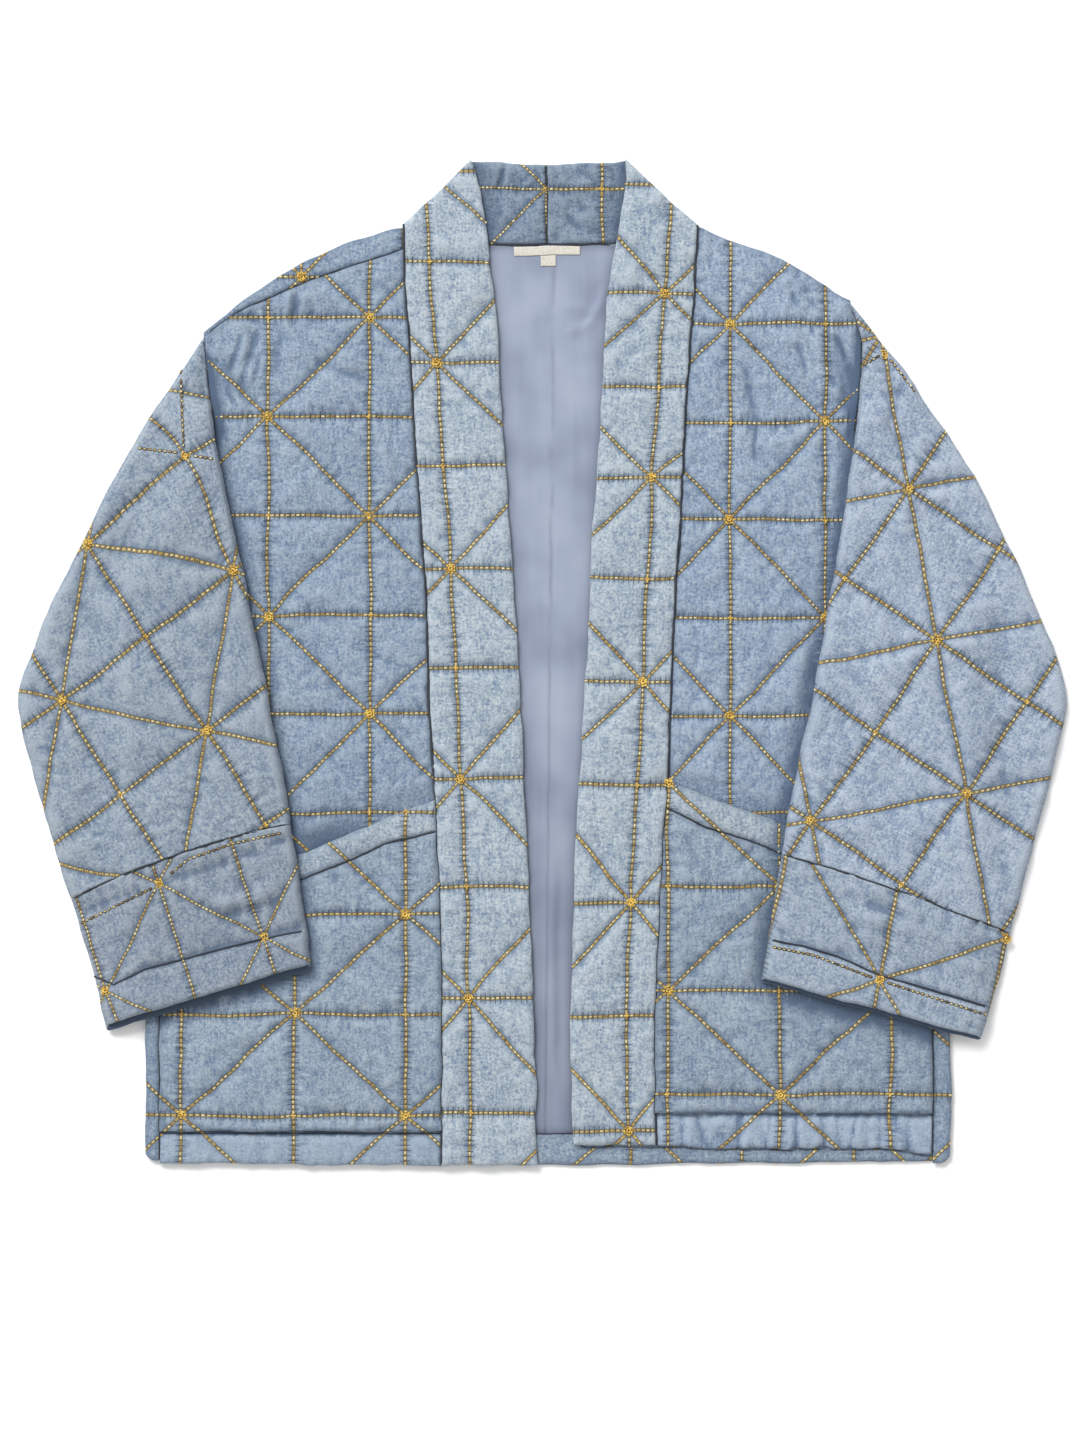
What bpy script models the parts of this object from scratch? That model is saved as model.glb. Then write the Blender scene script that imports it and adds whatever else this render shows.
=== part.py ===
# Quilted denim kimono coat, laid flat on a surface with its front up.
# Sizes are in millimetres and become metres in the meshes. X runs to the right as
# seen from above, Y towards the collar, and Z up from the surface under the back.
import math
from collections import namedtuple

import bmesh
import bpy

MM = 0.001

# Driving sizes of the cloth
SEAM_GAP = 0.3
CLOTH = 2.2
BACK_CLOTH = 2.4
LINING_CLOTH = 1.0
BAND_CLOTH = 2.8
COLLAR_CLOTH = 3.4
PUFF = 3.4
BAND_PUFF = 3.4
COLLAR_PUFF = 2.2
PRESSED_SHARE = 0.15
QUILT_CELL = 75.0
GRID_PARTS = 4

# Heights at which the layers lie on each other
LINING_FLOOR = BACK_CLOTH + SEAM_GAP
FACING_FLOOR = BACK_CLOTH + SEAM_GAP
WRAP_FLOOR = BACK_CLOTH + 2 * SEAM_GAP
FRONT_FLOOR = BACK_CLOTH + 2 * SEAM_GAP
BAND_FLOOR = LINING_FLOOR + LINING_CLOTH + SEAM_GAP
POCKET_FLOOR = FRONT_FLOOR + CLOTH + SEAM_GAP
SLEEVE_FLOOR = 9.0
SLEEVE_HOLLOW = 0.8
LABEL_FLOOR = LINING_FLOOR + LINING_CLOTH + SEAM_GAP

# Hems, lips and mouths
HEM_EXTRA = 2.4
HEM_GROOVE_WIDTH = 3.0
LIP_EXTRA = 1.2
MOUTH_GAPE = 2.2
MOUTH_MARGIN = 6.0
CUFF_UNDER_LENGTH = 7.0
EDGE_SHARE = 0.62
SQUEEZED_STEP = 4.0
SLEEVE_RAMP = 44.0
RAMP_MARGIN = 8.0
CLIMB_LENGTH = 26.0
LEFT_CLIMB_START = 205.0
RIGHT_CLIMB_START = 204.0
PRESS_MARGIN = 22.0

# Rounds in which the places of a panel's grid settle between its four edges
SETTLING_ROUNDS = 6

Point = namedtuple("Point", "x y")
Section = namedtuple("Section", "outer_x outer_y inner_x inner_y")
Quilt = namedtuple("Quilt", "star_x star_y p_x p_y q_x q_y")
Fold = namedtuple("Fold", "x0 y0 x1 y1 width height")

# Seam between each front band and its front, and the band's free edge
LEFT_BAND = [
    Section(-103.9, 328.5, -52.9, 377.3),
    Section(-103.7, 318.0, -49.9, 369.0),
    Section(-103.5, 306.0, -46.1, 347.3),
    Section(-103.1, 288.8, -40.9, 318.8),
    Section(-101.6, 267.8, -38.6, 294.8),
    Section(-99.4, 236.3, -34.1, 253.5),
    Section(-95.6, 171.8, -29.6, 178.5),
    Section(-91.1, 111.8, -25.1, 111.8),
    Section(-87.4, 54.8, -21.4, 54.8),
    Section(-84.4, -36.0, -16.1, -36.0),
    Section(-79.9, -103.5, -13.1, -103.5),
    Section(-76.1, -197.3, -9.4, -197.3),
    Section(-75.4, -277.5, -5.6, -277.5),
    Section(-75.4, -376.5, -4.1, -376.5),
]
RIGHT_BAND = [
    Section(115.9, 327.8, 61.9, 377.3),
    Section(115.5, 317.0, 62.6, 363.8),
    Section(114.8, 300.8, 59.6, 342.0),
    Section(113.6, 275.3, 54.4, 309.8),
    Section(111.4, 249.8, 49.1, 276.0),
    Section(109.1, 223.5, 45.4, 231.0),
    Section(106.1, 171.8, 43.1, 174.8),
    Section(103.9, 119.3, 38.6, 119.3),
    Section(100.1, 67.5, 36.4, 67.5),
    Section(97.1, 3.8, 33.4, 3.8),
    Section(94.1, -84.8, 28.1, -84.8),
    Section(90.4, -129.8, 24.4, -129.8),
    Section(87.4, -197.3, 22.9, -197.3),
    Section(83.6, -277.5, 20.6, -277.5),
    Section(85.1, -360.8, 22.9, -360.8),
]
# Heights of the cross lines of quilting on the bands, and the place of the
# lengthwise line as a share of the band's width from its seam
LEFT_BAND_LINES = [376.0, 300.8, 225.0, 147.8, 70.5, -3.8, -85.5, -168.0, -251.3, -336.8, -420.0]
RIGHT_BAND_LINES = [346.5, 276.8, 207.0, 138.0, 63.8, -14.3, -90.8, -180.0, -264.8, -350.3, -436.0]
LEFT_BAND_LENGTHWISE = 0.30
RIGHT_BAND_LENGTHWISE = 0.34

# Armhole and side seam of each front, from the shoulder down to the hem
LEFT_SIDE = [
    Point(-253.4, 242.0),
    Point(-252.0, 221.3),
    Point(-249.0, 200.3),
    Point(-245.9, 178.5),
    Point(-247.9, 155.0),
    Point(-256.9, 122.0),
    Point(-271.9, 92.0),
    Point(-286.9, 62.0),
    Point(-286.9, -380.0),
]
RIGHT_SIDE = [
    Point(229.9, 269.3),
    Point(238.7, 242.3),
    Point(238.5, 219.8),
    Point(236.2, 197.3),
    Point(234.1, 175.5),
    Point(238.0, 155.0),
    Point(252.0, 122.0),
    Point(268.0, 92.0),
    Point(284.0, 65.0),
    Point(292.1, 45.0),
    Point(292.1, -380.0),
]
# The back is wider than the fronts below the armholes and folds forward there
BACK_LEFT_SIDE = LEFT_SIDE[:7] + [Point(-290.0, 62.0), Point(-297.4, 45.0), Point(-297.4, -380.0)]
BACK_RIGHT_SIDE = RIGHT_SIDE[:8] + [Point(287.0, 65.0), Point(305.6, 45.0), Point(305.6, -380.0)]

# Shoulders and neck, left to right
BACK_TOP = [
    Point(-253.4, 243.5),
    Point(-230.6, 268.5),
    Point(-189.4, 294.8),
    Point(-151.9, 313.5),
    Point(-103.9, 327.8),
    Point(-84.4, 318.8),
    Point(-46.9, 313.5),
    Point(49.1, 313.5),
    Point(91.9, 317.3),
    Point(115.9, 327.0),
    Point(138.4, 318.0),
    Point(179.6, 302.3),
    Point(197.6, 292.5),
    Point(229.1, 270.0),
]
LEFT_SHOULDER = [
    Point(-253.4, 242.3),
    Point(-230.6, 261.0),
    Point(-218.6, 267.8),
    Point(-161.6, 291.8),
    Point(-103.0, 309.8),
]
RIGHT_SHOULDER = BACK_TOP[9:]

# Hems, left to right
BACK_HEM = [Point(-298.0, -371.0), Point(-80.0, -374.0), Point(0.0, -376.5), Point(306.0, -373.5)]
LEFT_HEM = [Point(-287.0, -375.0), Point(-75.0, -377.0)]
RIGHT_HEM = [
    Point(85.0, -361.5),
    Point(129.4, -363.8),
    Point(261.4, -363.8),
    Point(292.1, -369.8),
]
LEFT_HEM_SEAM = [Point(-287.0, -352.5), Point(-75.0, -352.5)]
RIGHT_HEM_SEAM = [Point(85.0, -338.5), Point(292.0, -338.5)]
FACING_TOP = [
    Point(-12.0, -353.0),
    Point(26.0, -353.0),
    Point(30.0, -362.8),
    Point(86.0, -363.2),
    Point(129.4, -365.2),
    Point(261.4, -365.2),
    Point(290.0, -371.0),
]

# Mouth and facing seam of each pocket, left to right
LEFT_MOUTH = [
    Point(-287.0, -168.0),
    Point(-178.1, -141.8),
    Point(-144.4, -127.5),
    Point(-101.6, -110.3),
    Point(-78.0, -102.0),
]
LEFT_POCKET_SEAM = [
    Point(-287.0, -190.0),
    Point(-178.1, -161.3),
    Point(-144.4, -147.8),
    Point(-118.1, -135.8),
    Point(-78.0, -126.0),
]
RIGHT_MOUTH = [
    Point(92.0, -87.8),
    Point(128.6, -102.0),
    Point(157.1, -112.5),
    Point(181.9, -121.5),
    Point(292.1, -162.8),
]
RIGHT_POCKET_SEAM = [
    Point(92.0, -108.0),
    Point(122.6, -123.0),
    Point(151.9, -132.0),
    Point(178.1, -142.5),
    Point(292.1, -184.0),
]

# Sleeves as flat tubes: each section runs from the folded top edge of the sleeve
# to its underarm edge, which lies over the body
LEFT_SLEEVE = [
    Section(-253.9, 242.3, -252.4, 221.3),
    Section(-271.9, 218.3, -249.4, 200.3),
    Section(-291.4, 188.3, -246.4, 178.5),
    Section(-307.1, 163.5, -241.1, 148.5),
    Section(-323.6, 135.0, -235.1, 116.3),
    Section(-341.6, 99.0, -225.4, 75.8),
    Section(-365.6, 49.5, -214.1, 19.5),
    Section(-379.9, 18.0, -206.6, -17.3),
    Section(-394.1, -25.5, -198.4, -64.5),
    Section(-389.6, -52.5, -194.6, -80.3),
    Section(-382.1, -80.3, -191.6, -95.3),
    Section(-374.6, -111.0, -190.1, -107.3),
    Section(-364.1, -143.3, -189.4, -113.3),
    Section(-354.4, -173.3, -188.7, -117.5),
]
RIGHT_SLEEVE = [
    Section(230.6, 269.3, 239.6, 242.3),
    Section(257.6, 236.3, 238.9, 219.8),
    Section(275.6, 213.0, 236.6, 197.3),
    Section(301.9, 174.0, 233.6, 160.5),
    Section(327.4, 135.0, 225.4, 115.5),
    Section(346.9, 93.8, 218.6, 69.0),
    Section(364.1, 57.0, 211.1, 27.8),
    Section(380.6, 18.0, 203.6, -15.8),
    Section(394.9, -20.3, 195.4, -56.3),
    Section(388.9, -54.8, 192.4, -70.5),
    Section(376.9, -102.8, 187.9, -91.5),
    Section(364.1, -149.3, 182.6, -117.8),
    Section(351.6, -199.8, 179.6, -139.5),
]
LEFT_CUFF = [
    Section(-353.6, -176.3, -188.6, -120.3),
    Section(-346.9, -197.3, -184.1, -146.3),
    Section(-340.1, -219.0, -180.4, -170.3),
    Section(-334.1, -240.8, -175.9, -200.3),
    Section(-326.6, -270.8, -172.9, -225.0),
]
RIGHT_CUFF = [
    Section(350.6, -203.3, 178.9, -143.3),
    Section(346.1, -221.3, 175.1, -164.3),
    Section(340.9, -240.8, 172.1, -183.8),
    Section(334.9, -260.3, 168.4, -207.8),
    Section(328.9, -279.8, 163.9, -236.3),
]
# Line just past the mouth of each cuff, down to which it presses on the front
LEFT_MOUTH_LINE = [Point(-174.0, -242.0), Point(-340.0, -308.0)]
RIGHT_MOUTH_LINE = [Point(166.0, -252.0), Point(340.0, -318.0)]
# Share of the cuff's length at which its hem is stitched
CUFF_HEM_SHARE = 0.62

# Quilting is a square net with stars at every other crossing: a star's place,
# and the steps from it to the next crossings along both sets of lines
LEFT_FRONT_QUILT = Quilt(-129.4, 258.8, 76.0, 0.0, 0.0, -74.3)
RIGHT_FRONT_QUILT = Quilt(140.6, 254.3, 71.3, 0.0, 0.0, -73.5)
LEFT_POCKET_QUILT = Quilt(-186.4, -263.3, 84.0, 0.0, 0.0, -75.8)
RIGHT_POCKET_QUILT = Quilt(94.1, -245.3, 83.3, 0.0, 0.0, -78.0)
LEFT_SLEEVE_QUILT = Quilt(-341.6, 88.5, 45.0, -69.8, 64.1, 47.6)
RIGHT_SLEEVE_QUILT = Quilt(295.1, 16.5, -46.9, -67.9, 67.9, -46.1)
LEFT_CUFF_QUILT = Quilt(-286.9, -165.8, 19.5, -59.3, 58.5, 20.3)
RIGHT_CUFF_QUILT = Quilt(251.6, -237.0, 15.0, 70.5, 80.3, -41.3)
COLLAR_QUILT = Quilt(3.4, 355.5, 42.0, 0.0, 0.0, 75.0)

# The largest folds of each piece as soft ridges and troughs in the outer face
LEFT_FRONT_FOLDS = [
    Fold(-226.0, 262.0, -222.0, 205.0, 11.0, 2.4),
    Fold(-240.0, 235.0, -238.0, 172.0, 8.0, -1.6),
    Fold(-205.0, 250.0, -212.0, 195.0, 9.0, 1.8),
    Fold(-180.0, 232.0, -118.0, 212.0, 10.0, 1.4),
    Fold(-190.0, 60.0, -110.0, 20.0, 14.0, 1.0),
]
RIGHT_FRONT_FOLDS = [
    Fold(150.0, 222.0, 170.0, 135.0, 11.0, -1.4),
    Fold(178.0, 280.0, 196.0, 205.0, 11.0, 2.2),
    Fold(205.0, 262.0, 214.0, 196.0, 9.0, 2.4),
    Fold(222.0, 258.0, 232.0, 190.0, 8.0, -1.8),
    Fold(170.0, 70.0, 200.0, -60.0, 14.0, 1.2),
]
LEFT_SLEEVE_FOLDS = [
    Fold(-300.0, 150.0, -250.0, 60.0, 16.0, 1.4),
    Fold(-360.0, 10.0, -250.0, -40.0, 18.0, 1.2),
    Fold(-330.0, -90.0, -215.0, -60.0, 16.0, -1.2),
]
RIGHT_SLEEVE_FOLDS = [
    Fold(285.0, 180.0, 262.0, 90.0, 14.0, 1.6),
    Fold(350.0, 20.0, 240.0, -10.0, 16.0, 1.2),
    Fold(330.0, -120.0, 230.0, -70.0, 16.0, -1.2),
]
LEFT_CUFF_FOLDS = [
    Fold(-250.0, -180.0, -190.0, -168.0, 9.0, 1.6),
    Fold(-330.0, -215.0, -280.0, -200.0, 9.0, -1.0),
]
RIGHT_CUFF_FOLDS = [
    Fold(230.0, -185.0, 300.0, -205.0, 9.0, 1.6),
    Fold(210.0, -215.0, 260.0, -225.0, 8.0, -1.0),
]
LINING_FOLDS = [
    Fold(10.0, 285.0, 44.0, 240.0, 9.0, 0.8),
    Fold(4.0, 200.0, 30.0, 120.0, 9.0, 0.7),
    Fold(6.0, -120.0, 8.0, -330.0, 6.0, 0.9),
]

DENIM = (0.32, 0.41, 0.53)
DENIM_LIGHT = (0.43, 0.51, 0.60)
LINING_BLUE = (0.37, 0.42, 0.56)
LABEL_CREAM = (0.78, 0.75, 0.68)


def soft_step(value):
    share = min(1.0, max(0.0, value))
    return share * share * (3.0 - 2.0 * share)


def height_at(points, x):
    # Y of a line that is given from left to right
    if x <= points[0].x:
        return points[0].y
    for first, second in zip(points, points[1:]):
        if x <= second.x:
            share = (x - first.x) / (second.x - first.x)
            return first.y + share * (second.y - first.y)
    return points[-1].y


def side_at(points, y):
    # X of a line that is given from the collar down to the hem
    if y >= points[0].y:
        return points[0].x
    for first, second in zip(points, points[1:]):
        if y >= second.y:
            share = (first.y - y) / (first.y - second.y)
            return first.x + share * (second.x - first.x)
    return points[-1].x


def outer_line(sections):
    return [Point(section.outer_x, section.outer_y) for section in sections]


def inner_line(sections):
    return [Point(section.inner_x, section.inner_y) for section in sections]


LEFT_SLEEVE_EDGE = inner_line(LEFT_SLEEVE) + inner_line(LEFT_CUFF) + LEFT_MOUTH_LINE
RIGHT_SLEEVE_EDGE = inner_line(RIGHT_SLEEVE) + inner_line(RIGHT_CUFF) + RIGHT_MOUTH_LINE


def pressed(x, y):
    # 1 where the cloth is free, 0 where a sleeve lies on it
    left = x - side_at(LEFT_SLEEVE_EDGE, y)
    right = side_at(RIGHT_SLEEVE_EDGE, y) - x
    return soft_step((min(left, right) - SQUEEZED_STEP) / PRESS_MARGIN)


def net_puff(p, q, cell):
    # How far a place stands from the nearest line of quilting, from 0 on the line
    # to 1 at the middle of a triangle of the net
    across = abs(p - round(p))
    along = abs(q - round(q))
    rising = abs((p + q) / 2 - round((p + q) / 2)) * math.sqrt(2)
    falling = abs((p - q) / 2 - round((p - q) / 2)) * math.sqrt(2)
    distance = min(across, along, rising, falling) * cell
    middle = cell * (1 - math.sqrt(0.5))
    share = min(1.0, distance / middle)
    return 1 - (1 - share) ** 2


def quilt_puff(quilt, x, y):
    area = quilt.p_x * quilt.q_y - quilt.p_y * quilt.q_x
    east = x - quilt.star_x
    north = y - quilt.star_y
    p = (east * quilt.q_y - north * quilt.q_x) / area
    q = (quilt.p_x * north - quilt.p_y * east) / area
    return net_puff(p, q, math.sqrt(abs(area)))


def band_puff(sections, lines, lengthwise, x, y):
    seam = side_at(outer_line(sections), y)
    edge = side_at(inner_line(sections), y)
    width = abs(edge - seam)
    p = (abs(x - seam) / width - lengthwise) * width / QUILT_CELL
    q = 0.0
    for number, (upper, lower) in enumerate(zip(lines, lines[1:])):
        if y <= upper:
            q = number + (upper - y) / (upper - lower)
    return net_puff(p, q, QUILT_CELL)


def folds_at(folds, x, y):
    total = 0.0
    for fold in folds:
        run_x = fold.x1 - fold.x0
        run_y = fold.y1 - fold.y0
        length = math.hypot(run_x, run_y)
        share = ((x - fold.x0) * run_x + (y - fold.y0) * run_y) / length ** 2
        aside = ((x - fold.x0) * run_y - (y - fold.y0) * run_x) / length
        taper = soft_step(share * 4) * soft_step((1 - share) * 4)
        total += fold.height * taper * math.exp(-(aside / fold.width) ** 2)
    return total


def squeezed(lines, low, high):
    # Lines kept where they are, but for those near or past an edge, which close up
    # beside it in small steps; the edges themselves are added at both ends
    step = min(SQUEEZED_STEP, (high - low) / (len(lines) + 1))
    inner = []
    for number, line in enumerate(lines):
        nearest = low + (number + 1) * step
        farthest = high - (len(lines) - number) * step
        inner.append(min(max(line, nearest), farthest))
    return [low] + inner + [high]


def net_lines(start, step, low, high):
    # Every grid line of the net, a part of a cell apart, between two limits
    part = step / GRID_PARTS
    first = math.ceil((low - start) / part)
    last = math.floor((high - start) / part)
    return [start + number * part for number in range(first, last + 1)]


def make_material(name, colour, roughness):
    material = bpy.data.materials.new(name)
    material.use_nodes = True
    shader = material.node_tree.nodes["Principled BSDF"]
    shader.inputs["Base Color"].default_value = (*colour, 1.0)
    shader.inputs["Roughness"].default_value = roughness
    shader.inputs["Metallic"].default_value = 0.0
    return material


def make_object(name, mesh, collection, colour, roughness=0.85):
    bmesh.ops.recalc_face_normals(mesh, faces=mesh.faces)
    data = bpy.data.meshes.new(name)
    mesh.to_mesh(data)
    mesh.free()
    data.shade_smooth()
    data.set_sharp_from_angle(angle=math.radians(50))
    data.materials.append(make_material(name, colour, roughness))
    item = bpy.data.objects.new(name, data)
    collection.objects.link(item)
    return item


def make_wall(columns, rows, inside, outside, closed=False):
    # A wall of cloth: a plain grid on its inner face, and the same grid again,
    # pulled out to the outer face; a tube's first and last columns are welded
    mesh = bmesh.new()
    bmesh.ops.create_grid(mesh, x_segments=columns, y_segments=rows, size=0.5)
    column_of = mesh.verts.layers.int.new("column")
    row_of = mesh.verts.layers.int.new("row")
    for vert in mesh.verts:
        vert[column_of] = round((vert.co.x + 0.5) * columns)
        vert[row_of] = round((vert.co.y + 0.5) * rows)
        vert.co = [size * MM for size in inside(vert[column_of], vert[row_of])]
    if closed:
        bmesh.ops.remove_doubles(mesh, verts=mesh.verts, dist=1e-6)
    pulled = bmesh.ops.extrude_face_region(mesh, geom=mesh.faces[:], use_keep_orig=True)
    for item in pulled["geom"]:
        if isinstance(item, bmesh.types.BMVert):
            item.co = [size * MM for size in outside(item[column_of], item[row_of])]
    return mesh


def make_panel(column_lines, row_lines, left, right, bottom, top, floor, cloth):
    # A flat panel: left and right give X for a Y, bottom and top give Y for an X,
    # floor gives the height of the inner face, and cloth the wall there
    columns = len(column_lines) + 1
    rows = len(row_lines) + 1
    places = {}
    for row in range(rows + 1):
        for column in range(columns + 1):
            y = ([bottom(column_lines[0])] + row_lines + [top(column_lines[-1])])[row]
            for _ in range(SETTLING_ROUNDS):
                x = squeezed(column_lines, left(y), right(y))[column]
                y = squeezed(row_lines, bottom(x), top(x))[row]
            places[column, row] = (x, y)

    def inside(column, row):
        x, y = places[column, row]
        return x, y, floor(x, y)

    def outside(column, row):
        x, y = places[column, row]
        at_edge = column in (0, columns) or row in (0, rows)
        wall = EDGE_SHARE * cloth(x, y, True) if at_edge else cloth(x, y, False)
        return x, y, floor(x, y) + wall

    return make_wall(columns, rows, inside, outside)


def section_at(sections, share):
    place = share * (len(sections) - 1)
    number = min(int(place), len(sections) - 2)
    rest = place - number
    first = sections[number]
    second = sections[number + 1]
    return Section(*(a + rest * (b - a) for a, b in zip(first, second)))


def section_at_height(sections, y):
    # The section whose seam end lies at this Y
    for first, second in zip(sections, sections[1:]):
        if y >= second.outer_y:
            rest = (first.outer_y - y) / (first.outer_y - second.outer_y)
            return Section(*(a + rest * (b - a) for a, b in zip(first, second)))
    return sections[-1]


def make_band(sections, lines, lengthwise):
    # Rows fall on the cross lines and at equal parts between them
    heights = []
    for upper, lower in zip(lines, lines[1:]):
        heights += [upper + (lower - upper) * part / GRID_PARTS for part in range(GRID_PARTS)]
    top = sections[0].outer_y
    end = sections[-1].outer_y
    heights = [top] + [y for y in heights if end + SQUEEZED_STEP < y < top - SQUEEZED_STEP] + [end]
    shares = [0.0, lengthwise / 2, lengthwise, (1 + 2 * lengthwise) / 3, (2 + lengthwise) / 3, 0.94, 1.0]
    columns = len(shares) - 1
    rows = len(heights) - 1

    def place(column, row):
        section = section_at_height(sections, heights[row])
        share = shares[column]
        x = section.outer_x + share * (section.inner_x - section.outer_x)
        y = section.outer_y + share * (section.inner_y - section.outer_y)
        return x, y

    def inside(column, row):
        return *place(column, row), BAND_FLOOR

    def outside(column, row):
        x, y = place(column, row)
        at_edge = column in (0, columns) or row in (0, rows)
        wall = BAND_CLOTH
        if at_edge:
            wall *= EDGE_SHARE
        else:
            wall += BAND_PUFF * band_puff(sections, lines, lengthwise, x, y)
        return x, y, BAND_FLOOR + wall

    return make_wall(columns, rows, inside, outside)


def make_tube(sections, rows, uppers, lowers, lift, puff, under_length=0.0):
    # A flattened tube. Round its ring run the upper layer from the underarm edge
    # to the top edge, a rounded fold, the lower layer back, and a second fold.
    turns = [math.pi / 4, 0.0, -math.pi / 4]
    ring = [("upper", number / uppers) for number in range(uppers + 1)]
    ring += [("top fold", turn) for turn in turns]
    ring += [("lower", 1 - number / lowers) for number in range(lowers + 1)]
    ring += [("under fold", -turn) for turn in turns]
    ring.append(ring[0])
    fold_radius = SLEEVE_HOLLOW / 2

    def place(column, row, radius, raised):
        kind, value = ring[column]
        section = section_at(sections, row / rows)
        run_x = section.outer_x - section.inner_x
        run_y = section.outer_y - section.inner_y
        length = math.hypot(run_x, run_y)
        inset = CLOTH + fold_radius
        turn = {"upper": math.pi / 2, "lower": -math.pi / 2}.get(kind, value)
        along = inset + value * (length - 2 * inset)
        if kind == "top fold":
            along = length - inset + radius * math.cos(turn)
        if kind == "under fold":
            along = inset - radius * math.cos(turn)
        x = section.inner_x + run_x * along / length
        y = section.inner_y + run_y * along / length
        under = under_length * soft_step(row / rows * 3 - 2) * (1 - math.sin(turn)) / 2
        y -= under
        height = lift(x, y) + CLOTH + fold_radius + radius * math.sin(turn)
        if raised and kind == "upper":
            height += puff(x, y, value, row / rows)
        return x, y, height

    def inside(column, row):
        return place(column, row, fold_radius, False)

    def outside(column, row):
        return place(column, row, fold_radius + CLOTH, True)

    return make_wall(len(ring) - 1, rows, inside, outside, closed=True)


def left_lift(x, y):
    beside = x - side_at(BACK_LEFT_SIDE, y)
    head = soft_step((LEFT_CLIMB_START - y) / CLIMB_LENGTH)
    return SLEEVE_FLOOR * soft_step((beside + SLEEVE_RAMP) / (SLEEVE_RAMP - RAMP_MARGIN)) * head


def right_lift(x, y):
    beside = side_at(BACK_RIGHT_SIDE, y) - x
    head = soft_step((RIGHT_CLIMB_START - y) / CLIMB_LENGTH)
    return SLEEVE_FLOOR * soft_step((beside + SLEEVE_RAMP) / (SLEEVE_RAMP - RAMP_MARGIN)) * head


def groove(distance):
    # 0 in a line of stitching, 1 away from it
    return soft_step(abs(distance) / HEM_GROOVE_WIDTH)


def make_front(side_left, side_right, hem, top, hem_seam, mouth, quilt, folds):
    hem_y = hem_seam[0].y
    column_lines = net_lines(quilt.star_x, quilt.p_x, side_left(-300.0) + 6, side_right(-300.0) - 6)
    lowest_seen = min(point.y for point in mouth) - 8
    row_lines = net_lines(quilt.star_y, -quilt.q_y, lowest_seen, 308.0)
    under_pocket = [lowest_seen - 36.0 * number for number in (4, 3, 2, 1)]
    hem_rows = [hem_y - 15, hem_y - 3, hem_y, hem_y + 3]
    row_lines = hem_rows + under_pocket + row_lines

    def cloth(x, y, at_edge):
        seam_y = height_at(hem_seam, x)
        wall = CLOTH
        if y < seam_y + HEM_GROOVE_WIDTH:
            return wall + HEM_EXTRA * groove(y - seam_y) * (not at_edge)
        if y < height_at(mouth, x) + SEAM_GAP or at_edge:
            return wall
        free = PRESSED_SHARE + (1 - PRESSED_SHARE) * pressed(x, y)
        above = soft_step((y - height_at(mouth, x) - MOUTH_MARGIN) / 20)
        puff = PUFF * quilt_puff(quilt, x, y) * free
        return wall + max(-0.4, puff + folds_at(folds, x, y) * pressed(x, y)) * above

    def bottom(x):
        return height_at(hem, x)

    def upper(x):
        return height_at(top, x)

    return make_panel(column_lines, row_lines, side_left, side_right, bottom, upper,
                      lambda x, y: FRONT_FLOOR, cloth)


def make_pocket(side_left, side_right, seam, hem_seam, quilt):
    column_lines = net_lines(quilt.star_x, quilt.p_x, side_left(-300.0) + 6, side_right(-300.0) - 6)
    row_lines = net_lines(quilt.star_y, -quilt.q_y, hem_seam[0].y + 6, seam[0].y + 60)
    row_lines = [y for y in row_lines if y < max(point.y for point in seam) - 5]

    def cloth(x, y, at_edge):
        free = PRESSED_SHARE + (1 - PRESSED_SHARE) * pressed(x, y)
        return CLOTH + (not at_edge) * PUFF * quilt_puff(quilt, x, y) * free

    def bottom(x):
        return height_at(hem_seam, x) + HEM_GROOVE_WIDTH / 2

    def upper(x):
        return height_at(seam, x) - SEAM_GAP / 2

    return make_panel(column_lines, row_lines, side_left, side_right, bottom, upper,
                      lambda x, y: POCKET_FLOOR, cloth)


def make_pocket_facing(side_left, side_right, seam, mouth, quilt, gape_x, gape_reach):
    # The folded strip along the pocket's mouth, which stands off the front a little;
    # its columns are the pocket's, so that both follow one seam
    column_lines = net_lines(quilt.star_x, quilt.p_x, side_left(-300.0) + 6, side_right(-300.0) - 6)

    def share_up(x, y):
        low = height_at(seam, x)
        return (y - low) / (height_at(mouth, x) - low)

    def floor(x, y):
        beside = 1 - soft_step(abs(x - gape_x) / gape_reach)
        return POCKET_FLOOR + MOUTH_GAPE * beside * pressed(x, y) * soft_step(share_up(x, y))

    def cloth(x, y, at_edge):
        free = PRESSED_SHARE + (1 - PRESSED_SHARE) * pressed(x, y)
        return CLOTH + (not at_edge) * (LIP_EXTRA + 1.0) * free

    def bottom(x):
        return height_at(seam, x) + SEAM_GAP / 2

    def upper(x):
        return height_at(mouth, x)

    middle = (seam[0].y + mouth[0].y) / 2
    return make_panel(column_lines, [middle - 5, middle + 5], side_left, side_right, bottom, upper,
                      floor, cloth)


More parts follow.
